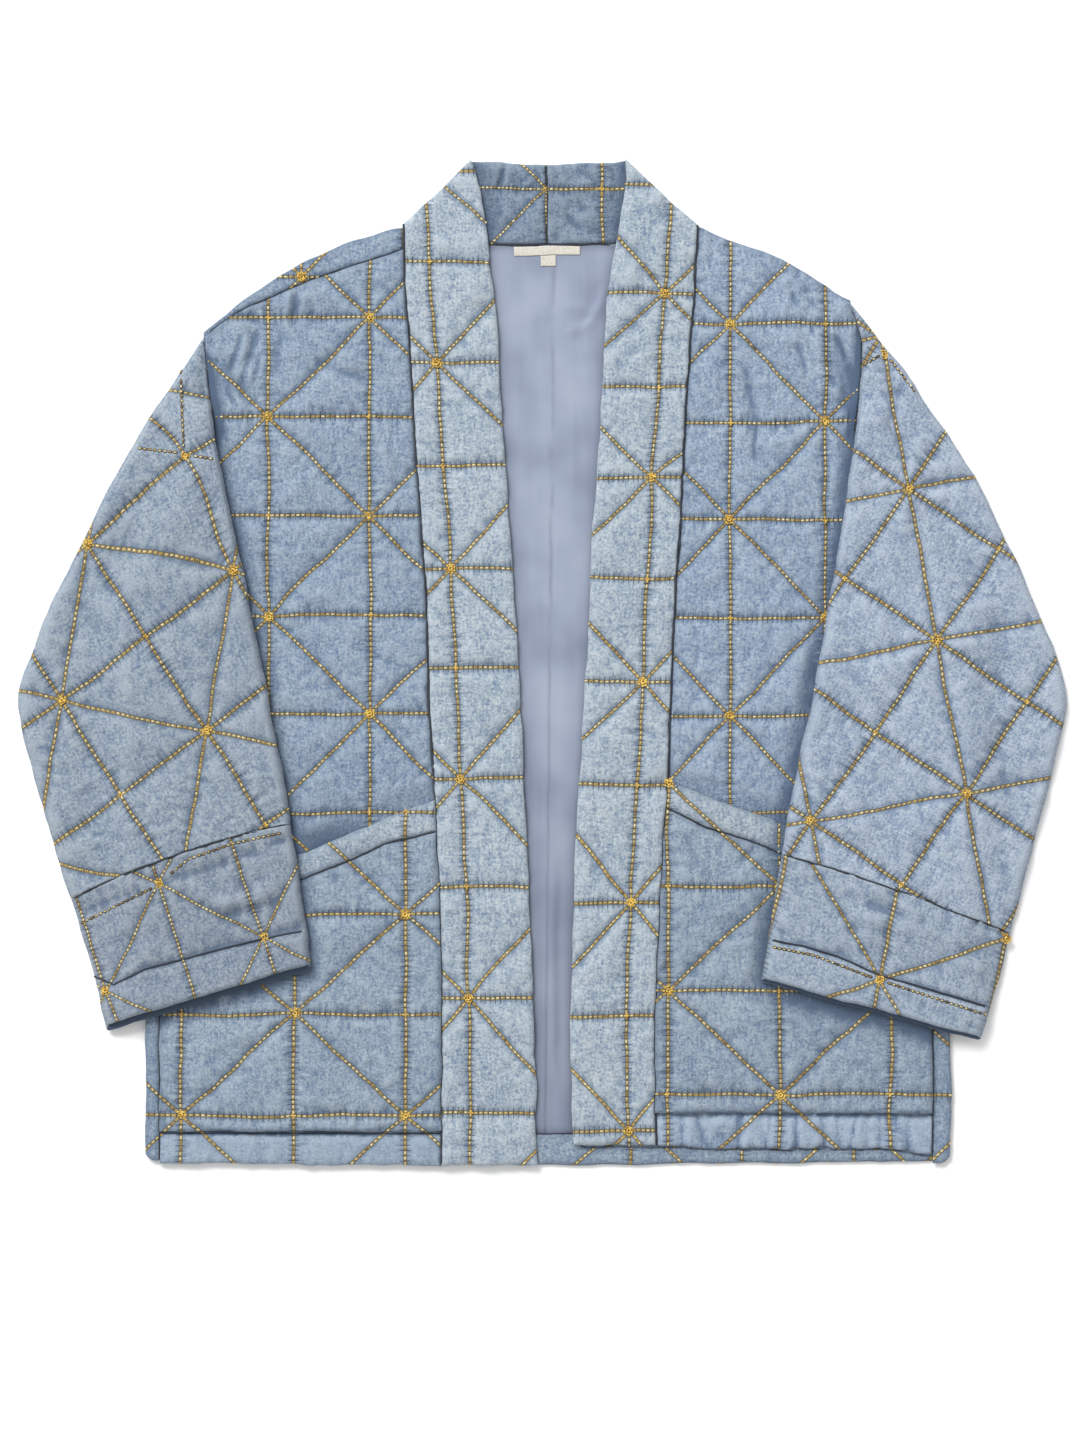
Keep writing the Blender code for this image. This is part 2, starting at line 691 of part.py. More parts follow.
def make_collar(corners, near_centre):
    # One half of the collar behind the neck, lying with its inner side up; its
    # outer end runs in under the front band. The corners are the neck seam's end,
    # its centre, the top edge's end and its centre.
    columns = 7
    rows = 5
    seam_end, seam_centre, top_end, top_centre = corners

    def place(column, row):
        across = column / columns
        up = row / rows
        low = Point(seam_end.x + across * (seam_centre.x - seam_end.x),
                    seam_end.y + soft_step(across * 1.6) * (seam_centre.y - seam_end.y))
        high = Point(top_end.x + across * (top_centre.x - top_end.x),
                     top_end.y + across * (top_centre.y - top_end.y))
        return low.x + up * (high.x - low.x), low.y + up * (high.y - low.y)

    def inside(column, row):
        return *place(column, row), 0.0

    def outside(column, row):
        x, y = place(column, row)
        at_edge = column in (0, columns) or row in (0, rows)
        free = soft_step(near_centre(x, y) / 8.0)
        if at_edge:
            return x, y, COLLAR_CLOTH * (EDGE_SHARE + 0.2)
        return x, y, COLLAR_CLOTH + COLLAR_PUFF * quilt_puff(COLLAR_QUILT, x, y) * free

    return make_wall(columns, rows, inside, outside)


def make_tag(centre_x, top_y, width, height):
    mesh = bmesh.new()
    bmesh.ops.create_cube(mesh, size=MM)
    bmesh.ops.scale(mesh, vec=(width, height, 0.6), verts=mesh.verts)
    place = (centre_x * MM, (top_y - height / 2) * MM, (LABEL_FLOOR + 0.3) * MM)
    bmesh.ops.translate(mesh, vec=place, verts=mesh.verts)
    return mesh


def build():
    for item in list(bpy.data.objects):
        bpy.data.objects.remove(item, do_unlink=True)
    coat = bpy.data.collections.new("quilted_kimono_coat")
    bpy.context.scene.collection.children.link(coat)

    left_band_seam = outer_line(LEFT_BAND)
    right_band_seam = outer_line(RIGHT_BAND)
    left_band_edge = inner_line(LEFT_BAND)
    right_band_edge = inner_line(RIGHT_BAND)

    # Back, with its plain under face on the surface
    back_columns = [-280.0 + 40.0 * number for number in range(15)]
    back_rows = [-330.0 + 60.0 * number for number in range(7)]
    back_rows += [point.y for point in reversed(BACK_RIGHT_SIDE[1:9])] + [270.0, 290.0]
    mesh = make_panel(
        back_columns, back_rows,
        lambda y: side_at(BACK_LEFT_SIDE, y),
        lambda y: side_at(BACK_RIGHT_SIDE, y),
        lambda x: height_at(BACK_HEM, x),
        lambda x: height_at(BACK_TOP, x),
        lambda x, y: 0.0,
        lambda x, y, at_edge: BACK_CLOTH,
    )
    make_object("back", mesh, coat, DENIM)

    # Parts of the back that fold forward over the side edges and the shoulder
    side_rows = [-352.0 + 37.5 * number for number in range(11)]
    for name, sides, hem in (
        ("back_side_left", (-297.4, -286.9 - SEAM_GAP), BACK_HEM),
        ("back_side_right", (292.1 + SEAM_GAP, 305.6), BACK_HEM),
    ):
        middle = (sides[0] + sides[1]) / 2
        mesh = make_panel(
            [middle], side_rows,
            lambda y, low=sides[0]: low,
            lambda y, high=sides[1]: high,
            lambda x, line=hem: height_at(line, x) + 1.0,
            lambda x: 40.0,
            lambda x, y: WRAP_FLOOR,
            lambda x, y, at_edge: CLOTH + (not at_edge) * 0.5,
        )
        make_object(name, mesh, coat, DENIM)
    shoulder_columns = [-240.0 + 15.0 * number for number in range(9)]
    mesh = make_panel(
        shoulder_columns, [272.0, 290.0],
        lambda y: -250.0,
        lambda y: -104.6,
        lambda x: height_at(LEFT_SHOULDER, x) + SEAM_GAP,
        lambda x: height_at(BACK_TOP, x),
        lambda x, y: WRAP_FLOOR,
        lambda x, y, at_edge: CLOTH + (not at_edge) * 1.0,
    )
    make_object("back_shoulder_left", mesh, coat, DENIM)

    # Facing inside the back's hem, where it shows past the right front
    facing_columns = [-4.0, 8.0, 20.0, 26.0, 30.0] + [50.0 + 30.0 * number for number in range(8)]
    mesh = make_panel(
        facing_columns, [-371.5, -369.0],
        lambda y: -12.0,
        lambda y: 289.0,
        lambda x: height_at(BACK_HEM, x) + 0.8,
        lambda x: height_at(FACING_TOP, x),
        lambda x, y: FACING_FLOOR,
        lambda x, y, at_edge: LINING_CLOTH,
    )
    make_object("back_hem_facing", mesh, coat, DENIM)

    # Lining of the back, where the coat stands open
    lining_rows = [-320.0 + 36.0 * number for number in range(17)]

    def lining_cloth(x, y, at_edge):
        shown = min(x - side_at(left_band_edge, y), side_at(right_band_edge, y) - x)
        return LINING_CLOTH + folds_at(LINING_FOLDS, x, y) * soft_step(shown / 8)

    mesh = make_panel(
        [-14.0, -3.0, 8.0, 20.0, 32.0], lining_rows,
        lambda y: side_at(left_band_edge, y) - 9.0,
        lambda y: side_at(right_band_edge, y) + 9.0,
        lambda x: -352.6,
        lambda x: 312.8,
        lambda x, y: LINING_FLOOR,
        lining_cloth,
    )
    make_object("lining_back", mesh, coat, LINING_BLUE, 0.6)

    # Fronts
    def left_front_low(y):
        return side_at(LEFT_SIDE, y)

    def left_front_high(y):
        return side_at(left_band_seam, y) - SEAM_GAP

    def right_front_low(y):
        return side_at(right_band_seam, y) + SEAM_GAP

    def right_front_high(y):
        return side_at(RIGHT_SIDE, y)

    mesh = make_front(left_front_low, left_front_high, LEFT_HEM, LEFT_SHOULDER, LEFT_HEM_SEAM,
                      LEFT_MOUTH, LEFT_FRONT_QUILT, LEFT_FRONT_FOLDS)
    make_object("front_left", mesh, coat, DENIM)
    mesh = make_front(right_front_low, right_front_high, RIGHT_HEM, RIGHT_SHOULDER, RIGHT_HEM_SEAM,
                      RIGHT_MOUTH, RIGHT_FRONT_QUILT, RIGHT_FRONT_FOLDS)
    make_object("front_right", mesh, coat, DENIM)

    # Pockets and the facings of their mouths
    mesh = make_pocket(left_front_low, left_front_high, LEFT_POCKET_SEAM, LEFT_HEM_SEAM,
                       LEFT_POCKET_QUILT)
    make_object("pocket_left", mesh, coat, DENIM)
    mesh = make_pocket(right_front_low, right_front_high, RIGHT_POCKET_SEAM, RIGHT_HEM_SEAM,
                       RIGHT_POCKET_QUILT)
    make_object("pocket_right", mesh, coat, DENIM)
    mesh = make_pocket_facing(left_front_low, left_front_high, LEFT_POCKET_SEAM, LEFT_MOUTH,
                              LEFT_POCKET_QUILT, -150.0, 60.0)
    make_object("pocket_facing_left", mesh, coat, DENIM_LIGHT)
    mesh = make_pocket_facing(right_front_low, right_front_high, RIGHT_POCKET_SEAM, RIGHT_MOUTH,
                              RIGHT_POCKET_QUILT, 135.0, 50.0)
    make_object("pocket_facing_right", mesh, coat, DENIM_LIGHT)

    # Front bands and the collar behind the neck
    mesh = make_band(LEFT_BAND, LEFT_BAND_LINES, LEFT_BAND_LENGTHWISE)
    make_object("band_left", mesh, coat, DENIM_LIGHT)
    mesh = make_band(RIGHT_BAND, RIGHT_BAND_LINES, RIGHT_BAND_LENGTHWISE)
    make_object("band_right", mesh, coat, DENIM_LIGHT)
    centre_x = 3.4
    left_corners = (Point(-102.6, 328.6), Point(centre_x - SEAM_GAP / 2, 314.2),
                    Point(-52.9, 376.2), Point(centre_x - SEAM_GAP / 2, 372.8))
    right_corners = (Point(114.6, 328.2), Point(centre_x + SEAM_GAP / 2, 314.2),
                     Point(61.9, 376.2), Point(centre_x + SEAM_GAP / 2, 372.8))
    mesh = make_collar(left_corners, lambda x, y: x - side_at(left_band_edge, y) - 6.0)
    make_object("collar_left", mesh, coat, DENIM)
    mesh = make_collar(right_corners, lambda x, y: side_at(right_band_edge, y) - x - 6.0)
    make_object("collar_right", mesh, coat, DENIM)

    # Sleeves and cuffs
    def sleeve_puff(quilt, folds):
        def puff(x, y, across, along):
            fade = soft_step(across * 14) * soft_step((1 - across) * 14)
            ends = soft_step(along * 24) * soft_step((1 - along) * 24)
            return max(-0.3, PUFF * quilt_puff(quilt, x, y) + folds_at(folds, x, y)) * fade * ends
        return puff

    def cuff_puff(quilt, folds):
        def puff(x, y, across, along):
            fade = soft_step(across * 14) * soft_step((1 - across) * 14)
            lip = LIP_EXTRA * soft_step(1.4 - along * 3)
            hem = groove((along - CUFF_HEM_SHARE) * 95.0)
            mouth = soft_step((1 - along) * 8)
            raised = PUFF * 0.8 * quilt_puff(quilt, x, y) + folds_at(folds, x, y)
            return max(-0.3, raised * hem * mouth + lip * soft_step(along * 16)) * fade
        return puff

    mesh = make_tube(LEFT_SLEEVE, 24, 10, 8, left_lift,
                     sleeve_puff(LEFT_SLEEVE_QUILT, LEFT_SLEEVE_FOLDS))
    make_object("sleeve_left", mesh, coat, DENIM)
    mesh = make_tube(RIGHT_SLEEVE, 24, 10, 8, right_lift,
                     sleeve_puff(RIGHT_SLEEVE_QUILT, RIGHT_SLEEVE_FOLDS))
    make_object("sleeve_right", mesh, coat, DENIM)
    mesh = make_tube(LEFT_CUFF, 8, 10, 8, left_lift,
                     cuff_puff(LEFT_CUFF_QUILT, LEFT_CUFF_FOLDS), CUFF_UNDER_LENGTH)
    make_object("cuff_left", mesh, coat, DENIM_LIGHT)
    mesh = make_tube(RIGHT_CUFF, 8, 10, 8, right_lift,
                     cuff_puff(RIGHT_CUFF_QUILT, RIGHT_CUFF_FOLDS), CUFF_UNDER_LENGTH)
    make_object("cuff_right", mesh, coat, DENIM_LIGHT)

    # Bare woven label at the neck seam, and the small tab that hangs from it
    make_object("neck_label", make_tag(3.8, 312.6, 49.5, 6.8), coat, LABEL_CREAM, 0.7)
    make_object("size_tab", make_tag(3.8, 305.5, 11.3, 8.0), coat, LABEL_CREAM, 0.7)


build()
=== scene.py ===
import math
import random

import bmesh
import bpy
from mathutils import Matrix, Vector, noise
from mathutils.bvhtree import BVHTree


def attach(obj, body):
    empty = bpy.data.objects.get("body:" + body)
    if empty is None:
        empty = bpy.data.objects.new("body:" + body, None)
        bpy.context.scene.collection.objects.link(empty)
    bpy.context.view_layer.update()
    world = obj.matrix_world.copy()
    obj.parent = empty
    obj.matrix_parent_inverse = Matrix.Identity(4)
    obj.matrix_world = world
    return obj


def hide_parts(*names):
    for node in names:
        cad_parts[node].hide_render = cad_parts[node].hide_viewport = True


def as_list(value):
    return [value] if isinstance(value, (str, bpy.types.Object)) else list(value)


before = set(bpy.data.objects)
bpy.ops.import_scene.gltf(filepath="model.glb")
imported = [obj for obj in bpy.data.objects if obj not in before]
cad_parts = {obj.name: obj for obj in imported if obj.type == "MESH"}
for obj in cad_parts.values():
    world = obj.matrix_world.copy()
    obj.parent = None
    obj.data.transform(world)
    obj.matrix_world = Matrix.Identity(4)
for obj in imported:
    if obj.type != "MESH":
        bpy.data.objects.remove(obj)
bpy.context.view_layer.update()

# Places are worked out in millimetres and become metres in the meshes. X runs to the
# right as seen from above, Y towards the collar, Z up from the surface it lies on.
mm = 0.001
luck = random.Random(41)
# Without a seed noise_vector differs from run to run
noise.seed_set(41)

# What every piece of cloth shares
clothLook = {
    "seamGap": 0.3,
    "cloth": 2.2,
    "backCloth": 2.4,
    "liningCloth": 1.0,
    "bandCloth": 2.8,
    "collarCloth": 3.4,
    "puff": 3.8,
    "bandPuff": 3.5,
    "collarPuff": 2.8,
    "pressedShare": 0.15,
    "quiltCell": 75.0,
    "edgeShare": 0.45,
    "gridSize": 2.5,
}
floors = {
    "lining": 2.7,
    "facing": 2.7,
    "wrap": 3.0,
    "front": 3.0,
    "band": 4.0,
    "label": 4.0,
    "pocket": 5.5,
    "sleeve": 9.0,
}
stitchLook = {"pitch": 3.8, "length": 2.7, "width": 1.6, "height": 0.95, "starGap": 5.6, "knotRadius": 2.9}


def addObject(name, data):
    item = bpy.data.objects.new(name, data)
    bpy.context.scene.collection.objects.link(item)
    return item


def softStep(value):
    share = min(1.0, max(0.0, value))
    return share * share * (3.0 - 2.0 * share)


def ripple(x, y, z):
    # Smooth noise, -1 to 1
    return noise.noise(Vector((x, y, z)))


def lineY(points, x):
    # Y of a line that runs from left to right
    if x <= points[0][0]:
        return points[0][1]
    for (x0, y0), (x1, y1) in zip(points, points[1:]):
        if x <= x1:
            return y0 + (x - x0) / (x1 - x0) * (y1 - y0)
    return points[-1][1]


def softY(points, x):
    return sum(lineY(points, x + step) for step in (-12, -6, 0, 6, 12)) / 5


def lineX(points, y):
    # X of a line that runs down from the collar
    if y >= points[0][1]:
        return points[0][0]
    for (x0, y0), (x1, y1) in zip(points, points[1:]):
        if y >= y1:
            return x0 + (y0 - y) / (y0 - y1) * (x1 - x0)
    return points[-1][0]


def outerLine(sections):
    return [(section[0], section[1]) for section in sections]


def innerLine(sections):
    return [(section[2], section[3]) for section in sections]


# Each band from its seam on the front to its free edge: x, y, x, y
leftBand = [
    (-103.9, 328.5, -52.9, 377.3), (-103.7, 318.0, -49.9, 369.0), (-103.5, 306.0, -46.1, 347.3),
    (-103.1, 288.8, -40.9, 318.8), (-101.6, 267.8, -38.6, 294.8), (-99.4, 236.3, -34.1, 253.5),
    (-95.6, 171.8, -29.6, 178.5), (-91.1, 111.8, -25.1, 111.8), (-87.4, 54.8, -21.4, 54.8),
    (-84.4, -36.0, -16.1, -36.0), (-79.9, -103.5, -13.1, -103.5), (-76.1, -197.3, -9.4, -197.3),
    (-75.4, -277.5, -5.6, -277.5), (-75.4, -376.5, -4.1, -376.5),
]
rightBand = [
    (115.9, 327.8, 61.9, 377.3), (115.5, 317.0, 62.6, 363.8), (114.8, 300.8, 59.6, 342.0),
    (113.6, 275.3, 54.4, 309.8), (111.4, 249.8, 49.1, 276.0), (109.1, 223.5, 45.4, 231.0),
    (106.1, 171.8, 43.1, 174.8), (103.9, 119.3, 38.6, 119.3), (100.1, 67.5, 36.4, 67.5),
    (97.1, 3.8, 33.4, 3.8), (94.1, -84.8, 28.1, -84.8), (90.4, -129.8, 24.4, -129.8),
    (87.4, -197.3, 22.9, -197.3), (83.6, -277.5, 20.6, -277.5), (85.1, -360.8, 22.9, -360.8),
]
# Heights of the cross lines of quilting on the bands
leftBandLines = [369.0, 300.8, 225.0, 147.8, 70.5, -3.8, -85.5, -168.0, -251.3, -336.8, -420.0]
rightBandLines = [420.0, 359.0, 276.8, 207.0, 138.0, 63.8, -14.3, -90.8, -180.0, -264.8, -350.3, -436.0]

# Armhole and side seam of each front, from the shoulder down to the hem
leftSide = [
    (-253.4, 242.0), (-252.0, 221.3), (-249.0, 200.3), (-245.9, 178.5), (-247.9, 155.0),
    (-256.9, 122.0), (-271.9, 92.0), (-286.9, 62.0), (-286.9, -380.0),
]
rightSide = [
    (229.9, 269.3), (238.7, 242.3), (238.5, 219.8), (236.2, 197.3), (234.1, 175.5),
    (238.0, 155.0), (252.0, 122.0), (268.0, 92.0), (284.0, 65.0), (292.1, 45.0), (292.1, -380.0),
]
backLeftSide = leftSide[:7] + [(-290.0, 62.0), (-297.4, 45.0), (-297.4, -380.0)]
backRightSide = rightSide[:8] + [(287.0, 65.0), (305.6, 45.0), (305.6, -380.0)]

# Shoulders and neck, hems and pocket mouths, left to right
backTop = [
    (-253.4, 243.5), (-230.6, 268.5), (-189.4, 294.8), (-151.9, 313.5), (-103.9, 327.8),
    (-84.4, 318.8), (-46.9, 313.5), (49.1, 313.5), (91.9, 317.3), (115.9, 327.0),
    (138.4, 318.0), (179.6, 302.3), (197.6, 292.5), (229.1, 270.0),
]
leftShoulder = [(-253.4, 242.3), (-230.6, 261.0), (-218.6, 267.8), (-161.6, 291.8), (-103.0, 309.8)]
rightShoulder = backTop[9:]
backHem = [(-298.0, -371.0), (-80.0, -374.0), (0.0, -376.5), (306.0, -373.5)]
leftHem = [(-287.0, -375.0), (-75.0, -377.0)]
rightHem = [(85.0, -361.5), (129.4, -363.8), (261.4, -363.8), (292.1, -369.8)]
leftHemSeam = [(-287.0, -352.5), (-75.0, -352.5)]
rightHemSeam = [(85.0, -338.5), (292.0, -338.5)]
facingTop = [
    (-12.0, -353.0), (26.0, -353.0), (30.0, -362.8), (86.0, -363.2), (129.4, -365.2),
    (261.4, -365.2), (290.0, -371.0),
]
leftMouth = [(-287.0, -168.0), (-178.1, -141.8), (-144.4, -127.5), (-101.6, -110.3), (-78.0, -102.0)]
leftPocketSeam = [(-287.0, -190.0), (-178.1, -161.3), (-144.4, -147.8), (-118.1, -135.8), (-78.0, -126.0)]
rightMouth = [(92.0, -87.8), (128.6, -102.0), (157.1, -112.5), (181.9, -121.5), (292.1, -162.8)]
rightPocketSeam = [(92.0, -108.0), (122.6, -123.0), (151.9, -132.0), (178.1, -142.5), (292.1, -184.0)]

# Sleeves and cuffs as flat tubes, from the folded top edge to the underarm edge
leftSleeve = [
    (-253.9, 242.3, -252.4, 221.3), (-271.9, 218.3, -249.4, 200.3), (-291.4, 188.3, -246.4, 178.5),
    (-307.1, 163.5, -241.1, 148.5), (-323.6, 135.0, -235.1, 116.3), (-341.6, 99.0, -225.4, 75.8),
    (-365.6, 49.5, -214.1, 19.5), (-379.9, 18.0, -206.6, -17.3), (-394.1, -25.5, -198.4, -64.5),
    (-389.6, -52.5, -194.6, -80.3), (-382.1, -80.3, -191.6, -95.3), (-374.6, -111.0, -190.1, -107.3),
    (-364.1, -143.3, -189.4, -113.3), (-353.8, -175.9, -188.7, -119.9),
]
rightSleeve = [
    (230.6, 269.3, 239.6, 242.3), (257.6, 236.3, 238.9, 219.8), (275.6, 213.0, 236.6, 197.3),
    (301.9, 174.0, 233.6, 160.5), (327.4, 135.0, 225.4, 115.5), (346.9, 93.8, 218.6, 69.0),
    (364.1, 57.0, 211.1, 27.8), (380.6, 18.0, 203.6, -15.8), (394.9, -20.3, 195.4, -56.3),
    (388.9, -54.8, 192.4, -70.5), (376.9, -102.8, 187.9, -91.5), (364.1, -149.3, 182.6, -117.8),
    (350.7, -202.9, 179.0, -142.9),
]
leftCuff = [
    (-353.6, -176.3, -188.6, -120.3), (-346.9, -197.3, -184.1, -146.3),
    (-340.1, -219.0, -180.4, -170.3), (-334.1, -240.8, -175.9, -200.3),
    (-326.6, -270.8, -172.9, -225.0),
]
rightCuff = [
    (350.6, -203.3, 178.9, -143.3), (346.1, -221.3, 175.1, -164.3),
    (340.9, -240.8, 172.1, -183.8), (334.9, -260.3, 168.4, -207.8),
    (328.9, -279.8, 163.9, -236.3),
]
leftSleeveEdge = innerLine(leftSleeve) + innerLine(leftCuff) + [(-173.0, -234.0), (-326.6, -280.0)]
rightSleeveEdge = innerLine(rightSleeve) + innerLine(rightCuff) + [(164.0, -245.5), (328.9, -289.0)]

# The quilting is a square net with a star at every other crossing: a star's place, the
# steps to the next crossings along both sets of lines, and where it is pulled askew:
# a place, how far it is pulled, and how wide the pull reaches
quilts = {
    "frontLeft": (-129.4, 258.8, 76.0, 0.0, 0.0, -74.3),
    "frontRight": (140.6, 254.3, 71.3, 0.0, 0.0, -73.5),
    "pocketLeft": (-186.4, -263.3, 84.0, 0.0, 0.0, -75.8),
    "pocketRight": (94.1, -245.3, 83.3, 0.0, 0.0, -78.0),
    "sleeveLeft": (-341.6, 88.5, 45.0, -69.8, 64.1, 47.6, -272.0, 146.0, 11.0, 19.0, 40.0),
    "sleeveRight": (295.1, 16.5, -46.9, -67.9, 67.9, -46.1),
    "cuffLeft": (-286.9, -165.8, 19.5, -59.3, 58.5, 20.3),
    "cuffRight": (251.6, -237.0, 15.0, 70.5, 80.3, -41.3),
    "collarLeft": (3.4, 355.5, 59.0, 0.0, 0.0, 56.0),
    "collarRight": (45.4, 355.5, 75.0, 0.0, 0.0, 75.0),
    "shoulder": (-180.4, 290.2, 76.0, 0.0, 0.0, -74.0),
}


def wander(x, y):
    # Hand-guided stitching strays a millimetre or so from its chalk line
    slow = Vector((x / 52, y / 52, 3.1))
    quick = Vector((x / 13, y / 13, 7.7))
    east = 2.1 * noise.noise(slow) + 0.7 * noise.noise(quick)
    slow += Vector((9.0, 5.0, 2.0))
    quick += Vector((4.0, 8.0, 1.0))
    return east, 2.1 * noise.noise(slow) + 0.7 * noise.noise(quick)


def strayAt(quilt, x, y):
    east, north = wander(x, y)
    if len(quilt) > 6:
        pullX, pullY, pullEast, pullNorth, reach = quilt[6:]
        pull = math.exp(-((x - pullX) ** 2 + (y - pullY) ** 2) / (2 * reach ** 2))
        east, north = east - pullEast * pull, north - pullNorth * pull
    return east, north


def netCoords(quilt, x, y):
    # Place in the net: whole numbers lie on its lines
    starX, starY, pX, pY, qX, qY = quilt[:6]
    strayX, strayY = strayAt(quilt, x, y)
    east = x - starX + strayX
    north = y - starY + strayY
    area = pX * qY - pY * qX
    return (east * qY - north * qX) / area, (pX * north - pY * east) / area


def netAt(name):
    return lambda x, y: netCoords(quilts[name], x, y)


def netPlace(quilt, p, q):
    starX, starY, pX, pY, qX, qY = quilt[:6]
    goalX = starX + p * pX + q * qX
    goalY = starY + p * pY + q * qY
    x, y = goalX, goalY
    for _ in range(8):
        strayX, strayY = strayAt(quilt, x, y)
        x, y = goalX - strayX, goalY - strayY
    return x, y


def bandCoords(sections, lines, lengthwise, x, y):
    seam = lineX(outerLine(sections), y)
    edge = lineX(innerLine(sections), y)
    strayX, strayY = wander(x, y)
    width = abs(edge - seam)
    p = (abs(x + strayX - seam) / width - lengthwise) * width / clothLook["quiltCell"]
    y += strayY
    for number, (upper, lower) in enumerate(zip(lines, lines[1:])):
        if y <= upper:
            q = number + (upper - y) / (upper - lower)
    if y > lines[0]:
        q = (lines[0] - y) / clothLook["quiltCell"]
    return p, q


def bandPlace(sections, lines, lengthwise, p, q):
    number = min(len(lines) - 2, max(0, math.floor(q)))
    goalY = lines[number] + (q - number) * (lines[number + 1] - lines[number])
    x, y = 0.0, goalY
    for _ in range(6):
        seam = lineX(outerLine(sections), y)
        edge = lineX(innerLine(sections), y)
        sign = 1 if edge > seam else -1
        strayX, strayY = wander(x, y)
        x = seam + sign * (p * clothLook["quiltCell"] + lengthwise * abs(edge - seam)) - strayX
        y = goalY - strayY
    return x, y


def netRelief(p, q, cell, puff, seed):
    # Puffed triangles between the lines, with puckers that run off each line
    rise = (p + q) / 2
    fall = (p - q) / 2
    slant = cell * math.sqrt(2)
    families = (
        (abs(p - round(p)) * cell, q * cell),
        (abs(q - round(q)) * cell, p * cell),
        (abs(rise - round(rise)) * slant, fall * slant),
        (abs(fall - round(fall)) * slant, rise * slant),
    )
    near = min(away for away, along in families)
    share = min(1.0, near / (cell * 0.293))
    dome = 0.35 * (1 - (1 - share) ** 2) + 0.65 * (1 - math.exp(-near / 3.4))
    pucker = 0.0
    for number, (away, along) in enumerate(families):
        if away < 22:
            depth = math.exp(-(away / 9.0) ** 2)
            pucker += depth * ripple(along / 4.4, away / 26, number * 9.3 + seed)
    fullness = 0.95 + 0.4 * ripple(p * 1.1, q * 1.1, seed + 20)
    return puff * dome * fullness + 1.8 * pucker


def crumple(x, y, seed):
    # Soft rumples with a few sharper creases through them
    broad = ripple(x / 33, y / 33, seed)
    small = ripple(x / 13 + broad * 0.8, y / 15, seed + 5)
    crease = 1 - abs(ripple(x / 26 + small * 0.25, y / 21, seed + 11)) * 3.2
    furrow = 1 - abs(ripple(x / 19, y / 24 + broad * 0.5, seed + 17)) * 4.0
    return 0.5 * broad + 0.5 * small + 0.8 * max(0.0, crease) ** 2 - 0.9 * max(0.0, furrow) ** 2


def foldsAt(folds, x, y):
    # Ridges and troughs at listed places: x, y to x, y, then width and height
    total = 0.0
    for x0, y0, x1, y1, width, height in folds:
        runX, runY = x1 - x0, y1 - y0
        length = math.hypot(runX, runY)
        share = ((x - x0) * runX + (y - y0) * runY) / length ** 2
        if -0.1 < share < 1.1:
            bend = 0.5 * width * ripple(share * 2.2, x0 / 40, y0 / 40)
            aside = ((x - x0) * runY - (y - y0) * runX) / length + bend
            taper = softStep(share * 4) * softStep((1 - share) * 4)
            total += 1.5 * height * taper * math.exp(-(aside / width) ** 2)
    return total


def edgePucker(x, y, side, end, seed):
    # Small gathers that run in from a seam or a turned edge
    across = math.exp(-(side / 8.0) ** 2) * ripple(y / 4.3, side / 30, seed + 31)
    down = math.exp(-(end / 8.0) ** 2) * ripple(x / 4.3, end / 30, seed + 37)
    return 1.7 * (across + down)


def wrinkles(folds, x, y, side, end, seed):
    return crumple(x, y, seed) + foldsAt(folds, x, y) + edgePucker(x, y, side, end, seed)


def rolled(distance, radius):
    inside = min(1.0, max(0.0, distance) / radius)
    return math.sqrt(1 - (1 - inside) ** 2)


def roundEdge(distance, radius):
    return clothLook["edgeShare"] + (1 - clothLook["edgeShare"]) * rolled(distance, radius)


def awayFrom(points, x, y):
    # Distance to a line of points, worked out only close to it
    if abs(x - lineX(points, y)) > 90 and y > points[-1][1] - 30:
        return 99.0
    shortest = 99.0
    for (x0, y0), (x1, y1) in zip(points, points[1:]):
        runX, runY = x1 - x0, y1 - y0
        share = min(1.0, max(0.0, ((x - x0) * runX + (y - y0) * runY) / (runX ** 2 + runY ** 2)))
        shortest = min(shortest, math.hypot(x - x0 - share * runX, y - y0 - share * runY))
    return shortest


def besideSleeve(x, y):
    # Distance to the nearer sleeve's edge, 0 under a sleeve
    if x < 0:
        under = x < lineX(leftSleeveEdge, y) and y > lineY(leftSleeveEdge[:-3:-1], x)
        return 0.0 if under else awayFrom(leftSleeveEdge, x, y)
    under = x > lineX(rightSleeveEdge, y) and y > lineY(rightSleeveEdge[-2:], x)
    return 0.0 if under else awayFrom(rightSleeveEdge, x, y)


def pressed(x, y):
    # 1 where the cloth is free, 0 where a sleeve lies on it
    return softStep((besideSleeve(x, y) - 2.5) / 12.0)


def freedom(x, y):
    # How free the cloth is here, and the share of its puff that is left
    free = pressed(x, y)
    return free, clothLook["pressedShare"] + (1 - clothLook["pressedShare"]) * free


def paintedShadowBeside(x, y):
    # Painted shadow on the cloth beside a sleeve, uneven, and stronger on the right
    away = besideSleeve(x, y)
    uneven = 1 + 0.9 * ripple(x / 9, y / 16, 47.0)
    return -(0.85 if x < 0 else 1.4) * uneven * math.exp(-max(0.0, away - 0.5) / (4.0 if x < 0 else 5.5))


def groove(distance, width=3.0):
    return softStep(abs(distance) / width)


def spread(length, cell=clothLook["gridSize"]):
    # Shares along a length, close together near both ends where the cloth turns over
    ends = [0.0, 0.45, 1.2, 2.3, 3.8]
    count = max(1, round((length - 12) / cell))
    middle = [6 + (length - 12) * number / count for number in range(count + 1)]
    return [size / length for size in ends + middle + [length - size for size in reversed(ends)]]


def unwashedUnshaded(x, y, z):
    return 0.0


